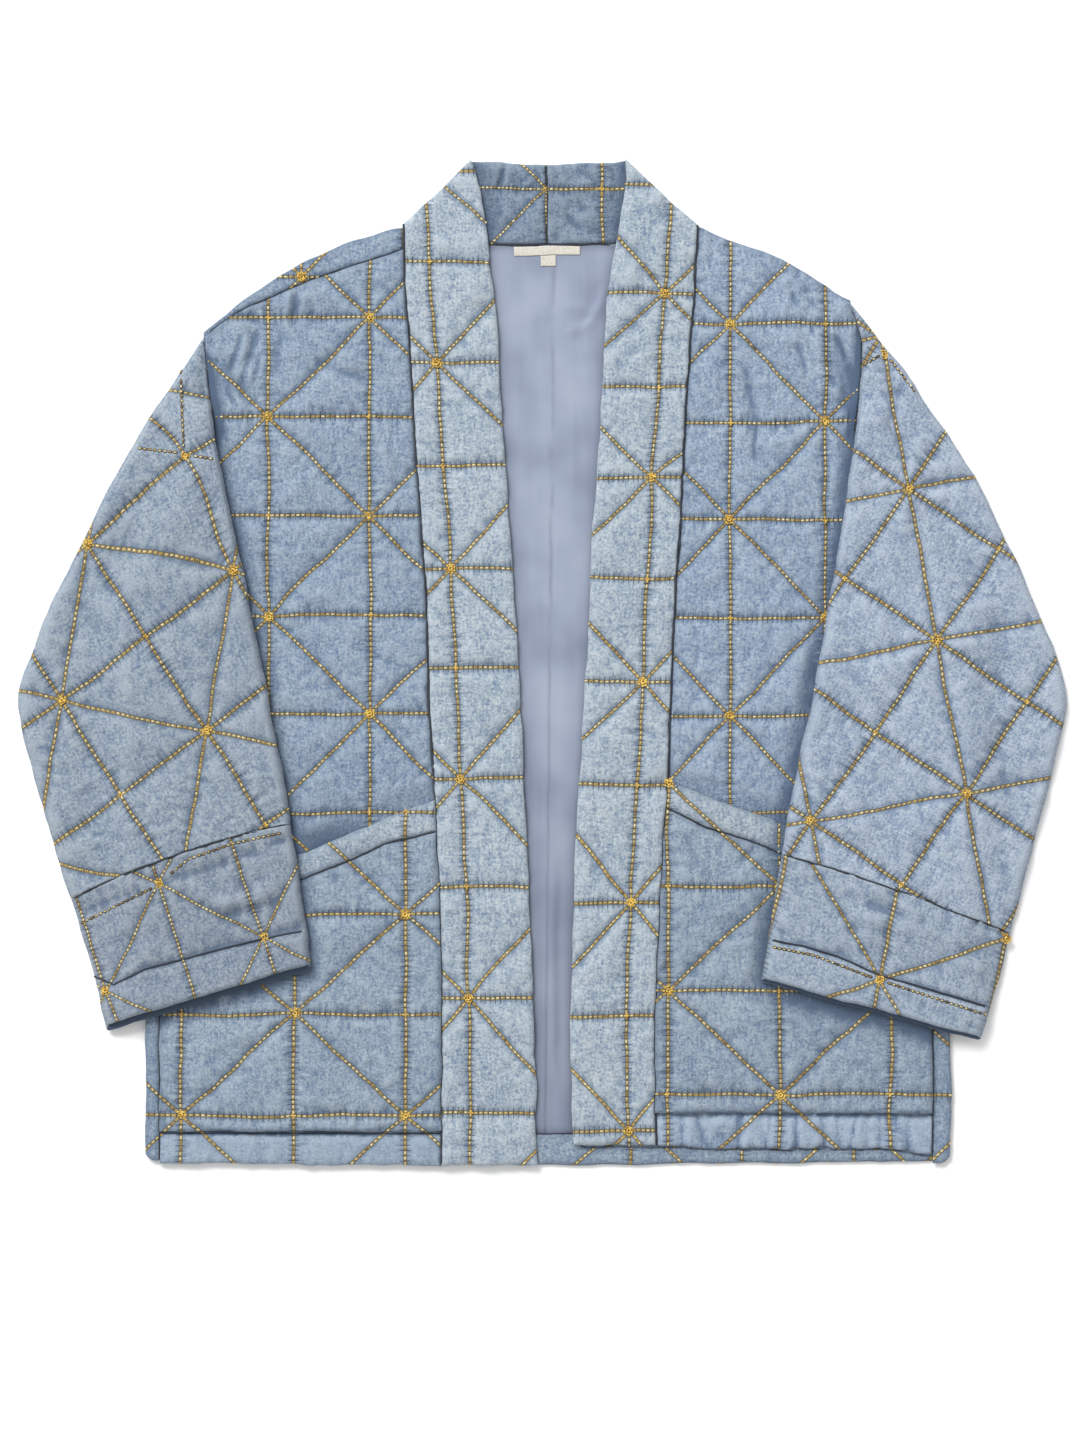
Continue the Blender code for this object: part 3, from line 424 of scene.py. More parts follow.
def makeWall(name, columns, rows, inside, outside, netOf, closed=False, washAndShadeOf=unwashedUnshaded, slants=True,
             levels=True):
    # A wall of cloth: a plain grid on its inner face, pulled out to its outer face;
    # its wash-and-shade function says where it is washed pale, above 0, or where shade is painted on, below 0
    mesh = bmesh.new()
    bmesh.ops.create_grid(mesh, x_segments=columns, y_segments=rows, size=0.5)
    columnOf = mesh.verts.layers.int.new("column")
    rowOf = mesh.verts.layers.int.new("row")
    for vert in mesh.verts:
        vert[columnOf] = round((vert.co.x + 0.5) * columns)
        vert[rowOf] = round((vert.co.y + 0.5) * rows)
        vert.co = [size * mm for size in inside(vert[columnOf], vert[rowOf])]
    if closed:
        bmesh.ops.remove_doubles(mesh, verts=mesh.verts, dist=1e-6)
    cutArea = sum(face.calc_area() for face in mesh.faces)
    pulled = bmesh.ops.extrude_face_region(mesh, geom=mesh.faces[:], use_keep_orig=True)
    for item in pulled["geom"]:
        if isinstance(item, bmesh.types.BMVert):
            item.co = [size * mm for size in outside(item[columnOf], item[rowOf])]
    for vert in mesh.verts:
        # No edge of a sewn coat lies quite straight; neighbours drift together
        place = vert.co / mm / 27
        drift = noise.noise_vector(Vector((place.x, place.y, 51.0)))
        drift += 0.4 * noise.noise_vector(Vector((place.x * 3, place.y * 3, 53.0)))
        vert.co += Vector((drift.x, drift.y, 0.0)) * 1.3 * mm
    bmesh.ops.recalc_face_normals(mesh, faces=mesh.faces)
    mesh.normal_update()
    wearAndCreaseShade = mesh.verts.layers.float.new("wearAndCreaseShade")
    for vert in mesh.verts:
        # Ridges wear pale, and creases are darkened as painted shade
        around = [edge.other_vert(vert).co for edge in vert.link_edges]
        middle = sum(around, Vector()) / len(around)
        vert[wearAndCreaseShade] = 0.5 + (vert.co - middle).dot(vert.normal) / mm * 1.5
    for _ in range(2):
        smooth = [sum(edge.other_vert(vert)[wearAndCreaseShade] for edge in vert.link_edges) / len(vert.link_edges)
                  for vert in mesh.verts]
        for vert, value in zip(mesh.verts, smooth):
            vert[wearAndCreaseShade] = 0.4 * vert[wearAndCreaseShade] + 0.6 * value
    washAndShade = mesh.verts.layers.float.new("washAndShade")
    for vert in mesh.verts:
        vert[washAndShade] = washAndShadeOf(vert.co.x / mm, vert.co.y / mm, vert.co.z / mm)
    slantsOf = mesh.verts.layers.float.new("slants")
    levelsOf = mesh.verts.layers.float.new("levels")
    for vert in mesh.verts:
        vert[slantsOf] = slants
        vert[levelsOf] = levels
    net = mesh.loops.layers.uv.new("net")
    places = {}
    for face in mesh.faces:
        for loop in face.loops:
            key = loop.vert.index
            if key not in places:
                places[key] = netOf(loop.vert.co.x / mm, loop.vert.co.y / mm)
            loop[net].uv = places[key]
    tree = BVHTree.FromBMesh(mesh)
    data = bpy.data.meshes.new(name)
    mesh.to_mesh(data)
    mesh.free()
    data.shade_smooth()
    return addObject(name, data), tree, cutArea


def asFunction(edge, find):
    # An edge is given as a function, a line of points or one fixed place
    if callable(edge):
        return edge
    return (lambda place: find(edge, place)) if isinstance(edge, list) else (lambda place: edge)


def makePanel(name, left, right, bottom, top, floor, wall, netOf, size, cell=clothLook["gridSize"],
              washAndShadeOf=None):
    # left and right give X for a Y, bottom and top give Y for an X, floor the height
    # of the inner face, and wall the thickness by place and distance from the edges
    left, right = asFunction(left, lineX), asFunction(right, lineX)
    bottom, top = asFunction(bottom, lineY), asFunction(top, lineY)
    floorAt = floor if callable(floor) else (lambda x, y: floor)
    acrossShares = spread(size[0], cell)
    upShares = spread(size[1], cell)
    columns = len(acrossShares) - 1
    rows = len(upShares) - 1
    places = {}
    for row, up in enumerate(upShares):
        x = (left(0) + right(0)) / 2
        y = bottom(x) + up * (top(x) - bottom(x))
        for column, across in enumerate(acrossShares):
            for _ in range(5):
                x = left(y) + across * (right(y) - left(y))
                y = bottom(x) + up * (top(x) - bottom(x))
            places[column, row] = (x, y)

    def inside(column, row):
        x, y = places[column, row]
        return x, y, floorAt(x, y)

    def outside(column, row):
        x, y = places[column, row]
        side = min(x - left(y), right(y) - x)
        end = min(y - bottom(x), top(x) - y)
        return x, y, floorAt(x, y) + wall(x, y, max(0.0, side), max(0.0, end))

    def washAndShadeAt(x, y, z):
        side = max(0.0, min(x - left(y), right(y) - x))
        end = max(0.0, min(y - bottom(x), top(x) - y))
        # Painted shade along every edge of the piece, as in the hollow of a seam
        return (washAndShadeOf(x, y) if washAndShadeOf else 0.0) - 0.45 * math.exp(-(min(side, end) / 3.5) ** 2)

    return makeWall(name, columns, rows, inside, outside, netOf, washAndShadeOf=washAndShadeAt)


def sectionAt(sections, share):
    # Sections run into each other in a soft curve
    total = [0.0, 0.0, 0.0, 0.0]
    for step in (-0.03, -0.015, 0.0, 0.015, 0.03):
        place = (share + step) * (len(sections) - 1)
        number = max(0, min(int(place), len(sections) - 2))
        rest = place - number
        parts = [a + rest * (b - a) for a, b in zip(sections[number], sections[number + 1])]
        total = [size + part / 5 for size, part in zip(total, parts)]
    return total


def sectionAtHeight(sections, y):
    for first, second in zip(sections, sections[1:]):
        if y >= second[1]:
            rest = (first[1] - y) / (first[1] - second[1])
            return [a + rest * (b - a) for a, b in zip(first, second)]
    return list(sections[-1])


def makeTube(name, sections, shares, lift, puff, netOf, bow, underLength=0.0, gape=0.0, levels=True):
    # A flattened tube: the upper layer from the underarm edge to the top edge, a
    # rounded fold, the lower layer back, and a second fold; bow is how far the seam
    # between sleeve and cuff arches
    uppers, lowers = 66, 24
    turns = [math.pi / 3, math.pi / 6, 0.0, -math.pi / 6, -math.pi / 3]
    ring = [("upper", number / uppers) for number in range(uppers + 1)]
    ring += [("top fold", turn) for turn in turns]
    ring += [("lower", 1 - number / lowers) for number in range(lowers + 1)]
    ring += [("under fold", -turn) for turn in turns]
    ring.append(ring[0])
    hollow = 0.4
    cloth = clothLook["cloth"]

    def place(column, row, radius, raised):
        kind, value = ring[column]
        outerX, outerY, innerX, innerY = sectionAt(sections, shares[row])
        runX, runY = outerX - innerX, outerY - innerY
        length = math.hypot(runX, runY)
        inset = cloth + hollow
        turn = {"upper": math.pi / 2, "lower": -math.pi / 2}.get(kind, value)
        along = inset + value * (length - 2 * inset)
        if kind == "top fold":
            along = length - inset + radius * math.cos(turn)
        if kind == "under fold":
            along = inset - radius * math.cos(turn)
        x = innerX + runX * along / length
        y = innerY + runY * along / length
        nearSeam = softStep(1 - shares[row] * 2) if underLength else softStep(shares[row] * 4 - 3)
        y += bow * nearSeam * math.sin(math.pi * min(1.0, max(0.0, along / length)))
        y -= underLength * softStep(shares[row] * 3 - 2) * (1 - math.sin(turn)) / 2
        height = lift(x, y) + cloth + hollow + radius * math.sin(turn)
        if kind == "upper":
            # The mouth of a cuff stands open a little
            height += gape * softStep(shares[row] * 4 - 3) * math.sin(math.pi * value)
        if raised and kind == "upper":
            height += puff(x, y, along, length - along, shares[row])
        return x, y, height

    def washAndShadeOf(x, y, z):
        # Painted shade on the inside of the lower layer and along the underarm edge, over a little random
        # tone
        low = z < lift(x, y) + cloth + hollow
        edge = min(abs(x - lineX(innerLine(sections), y)), 30.0)
        return 0.15 * ripple(x / 60, y / 60, 44.0) - 1.4 * low - 0.3 * math.exp(-edge / 4)

    return makeWall(name, len(ring) - 1, len(shares) - 1,
                    lambda column, row: place(column, row, hollow, False),
                    lambda column, row: place(column, row, hollow + cloth, True), netOf, closed=True,
                    washAndShadeOf=washAndShadeOf, levels=levels)


def linear(code):
    # sRGB hex to linear
    parts = [int(code[place:place + 2], 16) / 255 for place in (1, 3, 5)]
    return [part / 12.92 if part <= 0.04045 else ((part + 0.055) / 1.055) ** 2.4 for part in parts] + [1.0]


def toned(code, factors):
    return [min(1.0, part * factor) for part, factor in zip(linear(code), factors)] + [1.0]


def addNode(tree, kind, inputs=None, **settings):
    node = tree.nodes.new(f"ShaderNode{kind}")
    for name, value in settings.items():
        setattr(node, name, value)
    for key, value in (inputs or {}).items():
        if isinstance(value, bpy.types.NodeSocket):
            tree.links.new(value, node.inputs[key])
        else:
            node.inputs[key].default_value = value
    return node


def calc(tree, operation, *values):
    return addNode(tree, "Math", dict(enumerate(values)), operation=operation).outputs[0]


def ranged(tree, value, low, high, start, end, kind="LINEAR"):
    # Runs from start to end while the value runs from low to high
    inputs = {0: value, 1: low, 2: high, 3: start, 4: end}
    return addNode(tree, "MapRange", inputs, interpolation_type=kind).outputs[0]


def blend(tree, share, under, over):
    return addNode(tree, "Mix", {"Factor": share, 6: under, 7: over}, data_type="RGBA").outputs[2]


def mottle(tree, place, scale, detail, roughness=0.5, distortion=0.0):
    inputs = {"Vector": place, "Scale": scale, "Detail": detail, "Roughness": roughness,
              "Distortion": distortion}
    return addNode(tree, "TexNoise", inputs).outputs[0]


def stretched(tree, place, scale=(1, 1, 1), turn=0.0):
    return addNode(tree, "Mapping", {"Vector": place, "Scale": scale, "Rotation": (0, 0, turn)}).outputs[0]


def ribs(tree, place, scale, distortion, detail=2.0):
    inputs = {"Vector": place, "Scale": scale, "Distortion": distortion, "Detail": detail}
    return addNode(tree, "TexWave", inputs, bands_direction="X").outputs[1]


def attribute(tree, name):
    return addNode(tree, "Attribute", attribute_name=name).outputs["Fac"]


def coloured(tree, value, stops):
    node = addNode(tree, "ValToRGB", {0: value})
    ramp = node.color_ramp
    while len(ramp.elements) < len(stops):
        ramp.elements.new(0.5)
    for element, (position, colour) in zip(ramp.elements, stops):
        element.position = position
        element.color = linear(colour) if isinstance(colour, str) else colour
    return node.outputs[0]


def newMaterial(name, roughness, sheen):
    material = bpy.data.materials.new(name)
    material.use_nodes = True
    tree = material.node_tree
    shader = tree.nodes["Principled BSDF"]
    shader.inputs["Roughness"].default_value = roughness
    shader.inputs["Sheen Weight"].default_value = sheen
    return material, tree, shader, addNode(tree, "TexCoord").outputs["Object"]


def joinShader(tree, shader, colour, height, strength, distance):
    bump = addNode(tree, "Bump", {"Strength": strength, "Distance": distance, "Height": height})
    tree.links.new(colour, shader.inputs["Base Color"])
    tree.links.new(bump.outputs[0], shader.inputs["Normal"])


# Washed cotton denim, yarn dyed and woven in a 3/1 twill, then stone washed: dark and
# pale yarns read as a fine mottle and folds wear pale; shade is painted into creases,
# stitched valleys and puckers, with painted highlights on the puckers' tops
denimLook = {
    "dark": (0.52, 0.61, 0.76),
    "light": (1.46, 1.37, 1.26),
    "valley": (0.48, 0.56, 0.68),
    "ridge": (1.42, 1.35, 1.27),
    "shade": (0.3, 0.36, 0.46),
    "holesAndShade": "#57513F",
    "thread": "#A58C4C",
    "puckerShadow": "#2F3B4C",
    "roughness": 0.92,
    "slantCell": 106.0,
    "tooFar": 90.0,
}


def makeDenim(name, middleTone, turn=0.0):
    look = denimLook
    cell, slantCell, tooFar = clothLook["quiltCell"], look["slantCell"], look["tooFar"]
    ridgeTone, hollowShadeTone = toned(middleTone, look["ridge"]), toned(middleTone, look["valley"])
    material, tree, shader, place = newMaterial(name, look["roughness"], 0.12)
    shader.inputs["Sheen Roughness"].default_value = 0.5
    shader.inputs["Specular IOR Level"].default_value = 0.25
    grain = stretched(tree, place, turn=turn)
    # Real yarns are 0.4 mm apart; the mottle is drawn at 1.9 mm so that it shows
    fine = mottle(tree, grain, 540.0, 1.0)
    middle = mottle(tree, grain, 105.0, 4.0, 0.62, 1.4)
    broad = mottle(tree, grain, 24.0, 3.0, 0.55)
    # Slubs: uneven yarns seen as short streaks 1.2 mm wide, along the warp and the weft
    slub = mottle(tree, stretched(tree, grain, (640.0, 120.0, 60.0)), 1.0, 2.0)
    weft = mottle(tree, stretched(tree, grain, (150.0, 560.0, 60.0)), 1.0, 2.0)
    total = calc(tree, "MULTIPLY_ADD", fine, 0.5, -0.11)
    for part, share in ((middle, 0.18), (slub, 0.26), (weft, 0.16), (broad, 0.12)):
        total = calc(tree, "MULTIPLY_ADD", part, share, total)
    cloth = coloured(tree, total, [(0.37, toned(middleTone, look["dark"])), (0.5, middleTone),
                                   (0.62, toned(middleTone, look["light"]))])
    # Wash marks: pale curls where the cloth was crumpled in the wash
    curl = calc(tree, "ABSOLUTE", calc(tree, "SUBTRACT", mottle(tree, grain, 80.0, 1.5, 0.4, 2.2), 0.5))
    cloth = blend(tree, ranged(tree, curl, 0.0, 0.016, 0.3, 0.0, "SMOOTHSTEP"), cloth, ridgeTone)
    # Pale ridges from wear and painted shade in creases, from how the cloth bends; then washed-pale places
    # and painted shade from the wash-and-shade attribute
    wearAndCreaseShade, washAndShade = attribute(tree, "wearAndCreaseShade"), attribute(tree, "washAndShade")
    for value, start, end, most, tone in (
        (wearAndCreaseShade, 0.54, 0.82, 0.6, ridgeTone), (wearAndCreaseShade, 0.46, 0.2, 0.8, hollowShadeTone),
        (washAndShade, 0.0, 1.0, 0.9, ridgeTone), (washAndShade, 0.0, -1.0, 0.95, toned(middleTone, look["shade"])),
    ):
        cloth = blend(tree, ranged(tree, value, start, end, 0.0, most), cloth, tone)
    # Distance in millimetres to each set of quilting lines, from the net's own map
    net = addNode(tree, "UVMap", uv_map="net").outputs[0]
    p, q = addNode(tree, "SeparateXYZ", {0: net}).outputs[:2]
    rise = calc(tree, "MULTIPLY", calc(tree, "ADD", p, q), 0.5)
    fall = calc(tree, "MULTIPLY", calc(tree, "SUBTRACT", p, q), 0.5)
    noSlants = calc(tree, "SUBTRACT", 1.0, attribute(tree, "slants"))
    noLevels = calc(tree, "SUBTRACT", 1.0, attribute(tree, "levels"))
    covered = calc(tree, "LESS_THAN", washAndShade, -1.0)
    aways = []
    near, thread = None, None
    for value, along, size, missing in ((p, q, cell, noLevels), (q, p, cell, None),
                                        (rise, fall, slantCell, noSlants), (fall, rise, slantCell, noSlants)):
        away = calc(tree, "MULTIPLY", calc(tree, "PINGPONG", value, 0.5), size)
        if missing:
            away = calc(tree, "MULTIPLY_ADD", missing, tooFar, away)
        away = calc(tree, "MULTIPLY_ADD", covered, tooFar, away)
        aways.append(away)
        # The thread as it shows where no raised stitch lies on it: 2.7 mm on, 1.1 mm off
        beat = calc(tree, "PINGPONG", calc(tree, "MULTIPLY", along, size / stitchLook["pitch"]), 0.5)
        beat = calc(tree, "MULTIPLY", calc(tree, "LESS_THAN", beat, 0.35), calc(tree, "LESS_THAN", away, 0.8))
        near = calc(tree, "MINIMUM", near, away) if near else away
        thread = calc(tree, "MAXIMUM", thread, beat) if thread else beat
    # Painted shade in the valleys beside the quilting lines, patchy
    valley = ranged(tree, near, 0.5, 5.5, 0.45, 0.0, "SMOOTHSTEP")
    patchyShade = calc(tree, "MULTIPLY", calc(tree, "MULTIPLY", valley, middle), 1.7)
    cloth = blend(tree, patchyShade, cloth, hollowShadeTone)
    # Puckers that run off the straight lines, too fine for the mesh: 3 to 5 mm apart
    puckers = None
    for away, scale in ((aways[0], (4.0, 21.0, 1.0)), (aways[1], (21.0, 4.0, 1.0))):
        pulled = calc(tree, "SUBTRACT", mottle(tree, stretched(tree, net, scale), 1.0, 1.5), 0.5)
        pulled = calc(tree, "MULTIPLY", pulled, ranged(tree, away, 0.5, 13.0, 1.0, 0.0, "SMOOTHSTEP"))
        puckers = calc(tree, "ADD", pulled, puckers) if puckers else pulled
    # Painted shade in the puckers' dips and painted highlights on their tops
    cloth = blend(tree, ranged(tree, puckers, -0.03, -0.2, 0.0, 0.65), cloth, hollowShadeTone)
    cloth = blend(tree, ranged(tree, puckers, 0.04, 0.2, 0.0, 0.5), cloth, ridgeTone)
    # Painted shadows of short puckers across the straight lines, one at each stitch hole
    for away, along in ((aways[0], q), (aways[1], p)):
        beat = calc(tree, "PINGPONG", calc(tree, "MULTIPLY", along, cell / stitchLook["pitch"]), 0.5)
        reach = calc(tree, "LESS_THAN", away, calc(tree, "MULTIPLY", fine, 6.5))
        beat = calc(tree, "MULTIPLY", ranged(tree, beat, 0.36, 0.44, 0.0, 1.0), reach)
        cloth = blend(tree, calc(tree, "MULTIPLY", beat, 0.75), cloth, linear(look["puckerShadow"]))
    # Needle holes and painted shade along each side of the thread
    holesAndShade = ranged(tree, near, 1.05, 1.75, 0.82, 0.0, "SMOOTHSTEP")
    cloth = blend(tree, holesAndShade, cloth, linear(look["holesAndShade"]))
    cloth = blend(tree, thread, cloth, linear(look["thread"]))
    # Twill lines at 1.6 mm instead of 0.8 mm, so that they show
    twill = ribs(tree, stretched(tree, grain, turn=0.9), 195.0, 2.0, 1.0)
    high = calc(tree, "MULTIPLY_ADD", puckers, 3.0, calc(tree, "MULTIPLY_ADD", twill, 0.15, total))
    joinShader(tree, shader, cloth, high, 0.8, 0.0009)
    return material


# Mercerised cotton thread, twisted and dyed in gold and cream lengths: each stitch
# catches a small soft highlight
def makeThread(name, stops, roughness=0.5):
    material, tree, shader, place = newMaterial(name, roughness, 0.2)
    # Plies show as light and dark at 0.5 mm
    ply = mottle(tree, place, 1500.0, 1.0)
    mixed = calc(tree, "SUBTRACT", calc(tree, "MULTIPLY_ADD", ply, 0.35, attribute(tree, "tone")), 0.175)
    joinShader(tree, shader, coloured(tree, mixed, stops), ply, 0.4, 0.0002)
    return material


# Fine plain-weave cotton lawn, dyed lavender blue and pressed: smooth, with long soft
# streaks and a low sheen
liningLook = {
    "dark": "#747D92",
    "middle": "#8A93A6",
    "light": "#969EAF",
    "shade": "#4A5163",
    "roughness": 0.7,
}


def makeLining(name):
    look = liningLook
    material, tree, shader, place = newMaterial(name, look["roughness"], 0.15)
    streak = mottle(tree, stretched(tree, place, (110.0, 9.0, 9.0)), 1.0, 3.0)
    cloud = mottle(tree, place, 14.0, 2.0)
    total = calc(tree, "MULTIPLY_ADD", cloud, 0.85, calc(tree, "MULTIPLY", streak, 0.15))
    colour = coloured(tree, total, [(0.35, look["dark"]), (0.52, look["middle"]), (0.68, look["light"])])
    # Painted shade in the lining's creases, from how the cloth bends
    crease = ranged(tree, attribute(tree, "wearAndCreaseShade"), 0.48, 0.2, 0.0, 0.6)
    colour = blend(tree, crease, colour, linear(look["dark"]))
    # Painted shadow beside the bands, and darker towards the bottom, from the wash-and-shade attribute
    darker = ranged(tree, attribute(tree, "washAndShade"), 0.0, -1.0, 0.0, 1.0)
    colour = blend(tree, darker, colour, linear(look["shade"]))
    # Threads of a lawn are 0.2 mm apart; drawn at 0.8 mm
    joinShader(tree, shader, colour, mottle(tree, place, 1200.0, 0.0), 0.15, 0.0002)
    return material


# Bleached cotton tape, loomed with a ribbed face: matt cream with fine cross ribs
tapeLook = {"dark": "#B2ADA1", "light": "#C8C4BA", "roughness": 0.85}


def makeTape(name):
    material, tree, shader, place = newMaterial(name, tapeLook["roughness"], 0.0)
    # Ribs 1 mm apart
    rib = ribs(tree, place, 314.0, 0.6)
    speck = mottle(tree, place, 500.0, 2.0)
    total = calc(tree, "MULTIPLY_ADD", speck, 0.7, calc(tree, "MULTIPLY", rib, 0.3))
    colour = coloured(tree, total, [(0.3, tapeLook["dark"]), (0.6, tapeLook["light"])])
    joinShader(tree, shader, colour, total, 0.3, 0.0003)
    return material


denims = {
    "body": makeDenim("washed_twill_denim_body", "#7D8C9D"),
    "right": makeDenim("washed_twill_denim_right_front", "#8291A3"),
    "pocket": makeDenim("washed_twill_denim_pocket", "#7F8D9C"),
    # The collar's denim is toned darker as painted shade inside the neck
    "collar": makeDenim("washed_twill_denim_collar_shaded", "#6F7D8D"),
    "band": makeDenim("washed_twill_denim_band", "#919DA8"),
    "sleeveLeft": makeDenim("washed_twill_denim_left_sleeve", "#7F8B98", -0.35),
    "sleeveRight": makeDenim("washed_twill_denim_right_sleeve", "#8D9AAA", 0.4),
    "cuffLeft": makeDenim("washed_twill_denim_left_cuff", "#798491", -0.35),
    "cuffRight": makeDenim("washed_twill_denim_right_cuff", "#8592A1", 0.35),
}
# The darkest stop colours the wide low beads laid under the rays: painted shade with the needle holes
stitchTones = [(0.02, "#3A3426"), (0.16, "#75592E"), (0.4, "#A08446"), (0.62, "#C2B077"), (0.92, "#D9D1A6")]
knotTones = [(0.1, "#6E4F1A"), (0.42, "#C79A34"), (0.85, "#E3C35C")]
stitchThread = makeThread("mercerised_cotton_thread_gold", stitchTones)
knotThread = makeThread("mercerised_cotton_thread_knots", knotTones)
seamThread = makeThread("spun_polyester_thread_navy", [(0.2, "#101B2B"), (0.9, "#22334A")], 0.7)
liningCotton = makeLining("pressed_cotton_lawn_lavender")
labelTape = makeTape("bleached_cotton_tape")
print("materials made")


pieceBag = {}
trees = {}


def dress(made, node, material, flat):
    item, trees[node], cutArea = made
    item.data.materials.append(material)
    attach(item, "root")
    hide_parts(node)
    pieceBag[node] = {"item": item, "flat": flat, "area": cutArea, "with": []}


def sleeveLift(beside, y, start):
    # A sleeve climbs from the surface on to the body, below its shoulder
    return floors["sleeve"] * softStep((beside + 44.0) / 36.0) * softStep((start - y) / 26.0)


def leftLift(x, y):
    return sleeveLift(x - lineX(backLeftSide, y), y, 205.0)


def rightLift(x, y):
    return sleeveLift(lineX(backRightSide, y) - x, y, 204.0)


def gatherAt(x, y, seed):
    # 1 in the bottom of a gather of a turned hem, 0 between them
    return max(0.0, 1 - 8 * abs(ripple(x / 21, y / 90, seed + 67)))


# What the pieces of each side share: their edges, lines and nets
hands = {
    "left": {
        "low": leftSide,
        "high": lambda y: lineX(outerLine(leftBand), y) - clothLook["seamGap"],
        "hem": leftHem,
        "top": leftShoulder,
        "hemSeam": leftHemSeam,
        "mouth": leftMouth,
        "pocketSeam": leftPocketSeam,
        "front": "frontLeft",
        "pocket": "pocketLeft",
    },
    "right": {
        "low": lambda y: lineX(outerLine(rightBand), y) + clothLook["seamGap"],
        "high": rightSide,
        "hem": rightHem,
        "top": rightShoulder,
        "hemSeam": rightHemSeam,
        "mouth": rightMouth,
        "pocketSeam": rightPocketSeam,
        "front": "frontRight",
        "pocket": "pocketRight",
    },
}
frontPieces = {
    "left": {
        "flat": (0.215, 0.705),
        "gathers": 1.0,
        # Strips of painted shade along folds, mostly by the armhole: x, y to x, y, width and strength
        "shadedFolds": [
            (-255, 236, -244, 158, 7, -0.45), (-254, 237, -246, 194, 3, -0.5),
            (-247, 199, -237, 166, 3.4, -0.55), (-237, 262, -206, 254, 2.2, -0.3),
            (-224, 250, -235, 212, 2.4, -0.3), (-236, 232, -230, 196, 4, -0.22),
            (-183, 275, -186, 252, 3, -0.3),
        ],
        "folds": [
            (-184, 286, -187, 244, 2.4, -1.5), (-189, 284, -192, 250, 2.2, 1.2),
            (-178, 280, -181, 252, 2.2, 1.0), (-232, 262, -206, 255, 2.4, -1.4),
            (-236, 257, -202, 246, 2.2, 1.1), (-224, 252, -236, 212, 2.4, -1.5),
            (-216, 248, -226, 200, 2.4, -1.4), (-210, 246, -219, 205, 2.2, 1.2),
            (-245, 222, -228, 186, 3.0, -1.6), (-187, 247, -135, 225, 2.6, 1.1),
            (-178, 241, -128, 219, 2.4, -0.9), (-150, 15, -95, -7, 2.4, -0.9),
            (-226, 262, -222, 205, 7, 2.2), (-240, 235, -238, 172, 6, -1.8), (-213, 258, -214, 215, 4, -1.6),
            (-205, 252, -208, 205, 5, 1.8), (-197, 250, -198, 212, 3.5, -1.4), (-180, 238, -118, 216, 7, 1.4),
            (-178, 230, -120, 206, 4, -0.9), (-236, 252, -214, 249, 5, -1.4), (-233, 228, -222, 178, 6, 1.7),
            (-228, 215, -218, 170, 4, -1.6), (-190, 60, -110, 20, 10, 0.9), (-170, -10, -120, -50, 8, -0.9),
            (-200, 120, -160, 150, 7, 0.9), (-130, 190, -112, 130, 5, 0.9),
        ],
    },
    "right": {
        "flat": (0.215, 0.700),
        "gathers": 3.6,
        "shadedFolds": [
            (238, 224, 235, 150, 8, -0.45), (216, 246, 230, 180, 5, -0.25), (152, 226, 162, 165, 4, -0.2),
            (218, 249, 229, 224, 2.6, -0.6), (227, 230, 240, 190, 3.4, -0.7), (214, 263, 199, 245, 2.2, -0.4),
            (160, 186, 158, 150, 2, -0.3), (120, 119, 150, 92, 2, -0.2),
        ],
        "folds": [
            (218, 249, 229, 224, 3.2, -1.7), (227, 230, 240, 190, 3.6, -1.6), (214, 263, 199, 245, 2.4, -1.4),
            (207, 266, 214, 250, 2.4, -1.4), (184, 290, 191, 262, 2.4, -1.3), (190, 240, 199, 210, 2.4, -1.5),
            (219, 247, 229, 195, 2.6, -1.6), (224, 246, 233, 205, 2.4, 1.3), (243, 238, 238, 190, 2.6, -1.5),
            (150, 227, 160, 182, 2.4, -1.3), (160, 186, 159, 150, 2.2, -1.0), (120, 118, 150, 92, 2.4, -0.9),
            (150, 222, 170, 135, 8, -1.6), (158, 224, 178, 140, 6, 1.4), (178, 280, 196, 205, 8, 1.9),
            (205, 262, 214, 196, 6, 2.2), (212, 250, 220, 200, 4, -1.9), (222, 258, 232, 190, 6, -1.8),
            (186, 240, 198, 216, 5, -1.5), (182, 292, 190, 275, 5, 1.4), (170, 70, 200, -60, 11, 1.1),
            (120, 150, 150, 110, 6, 0.9), (125, -20, 170, -70, 7, -0.9), (196, 285, 206, 262, 4, -1.5),
        ],
    },
}


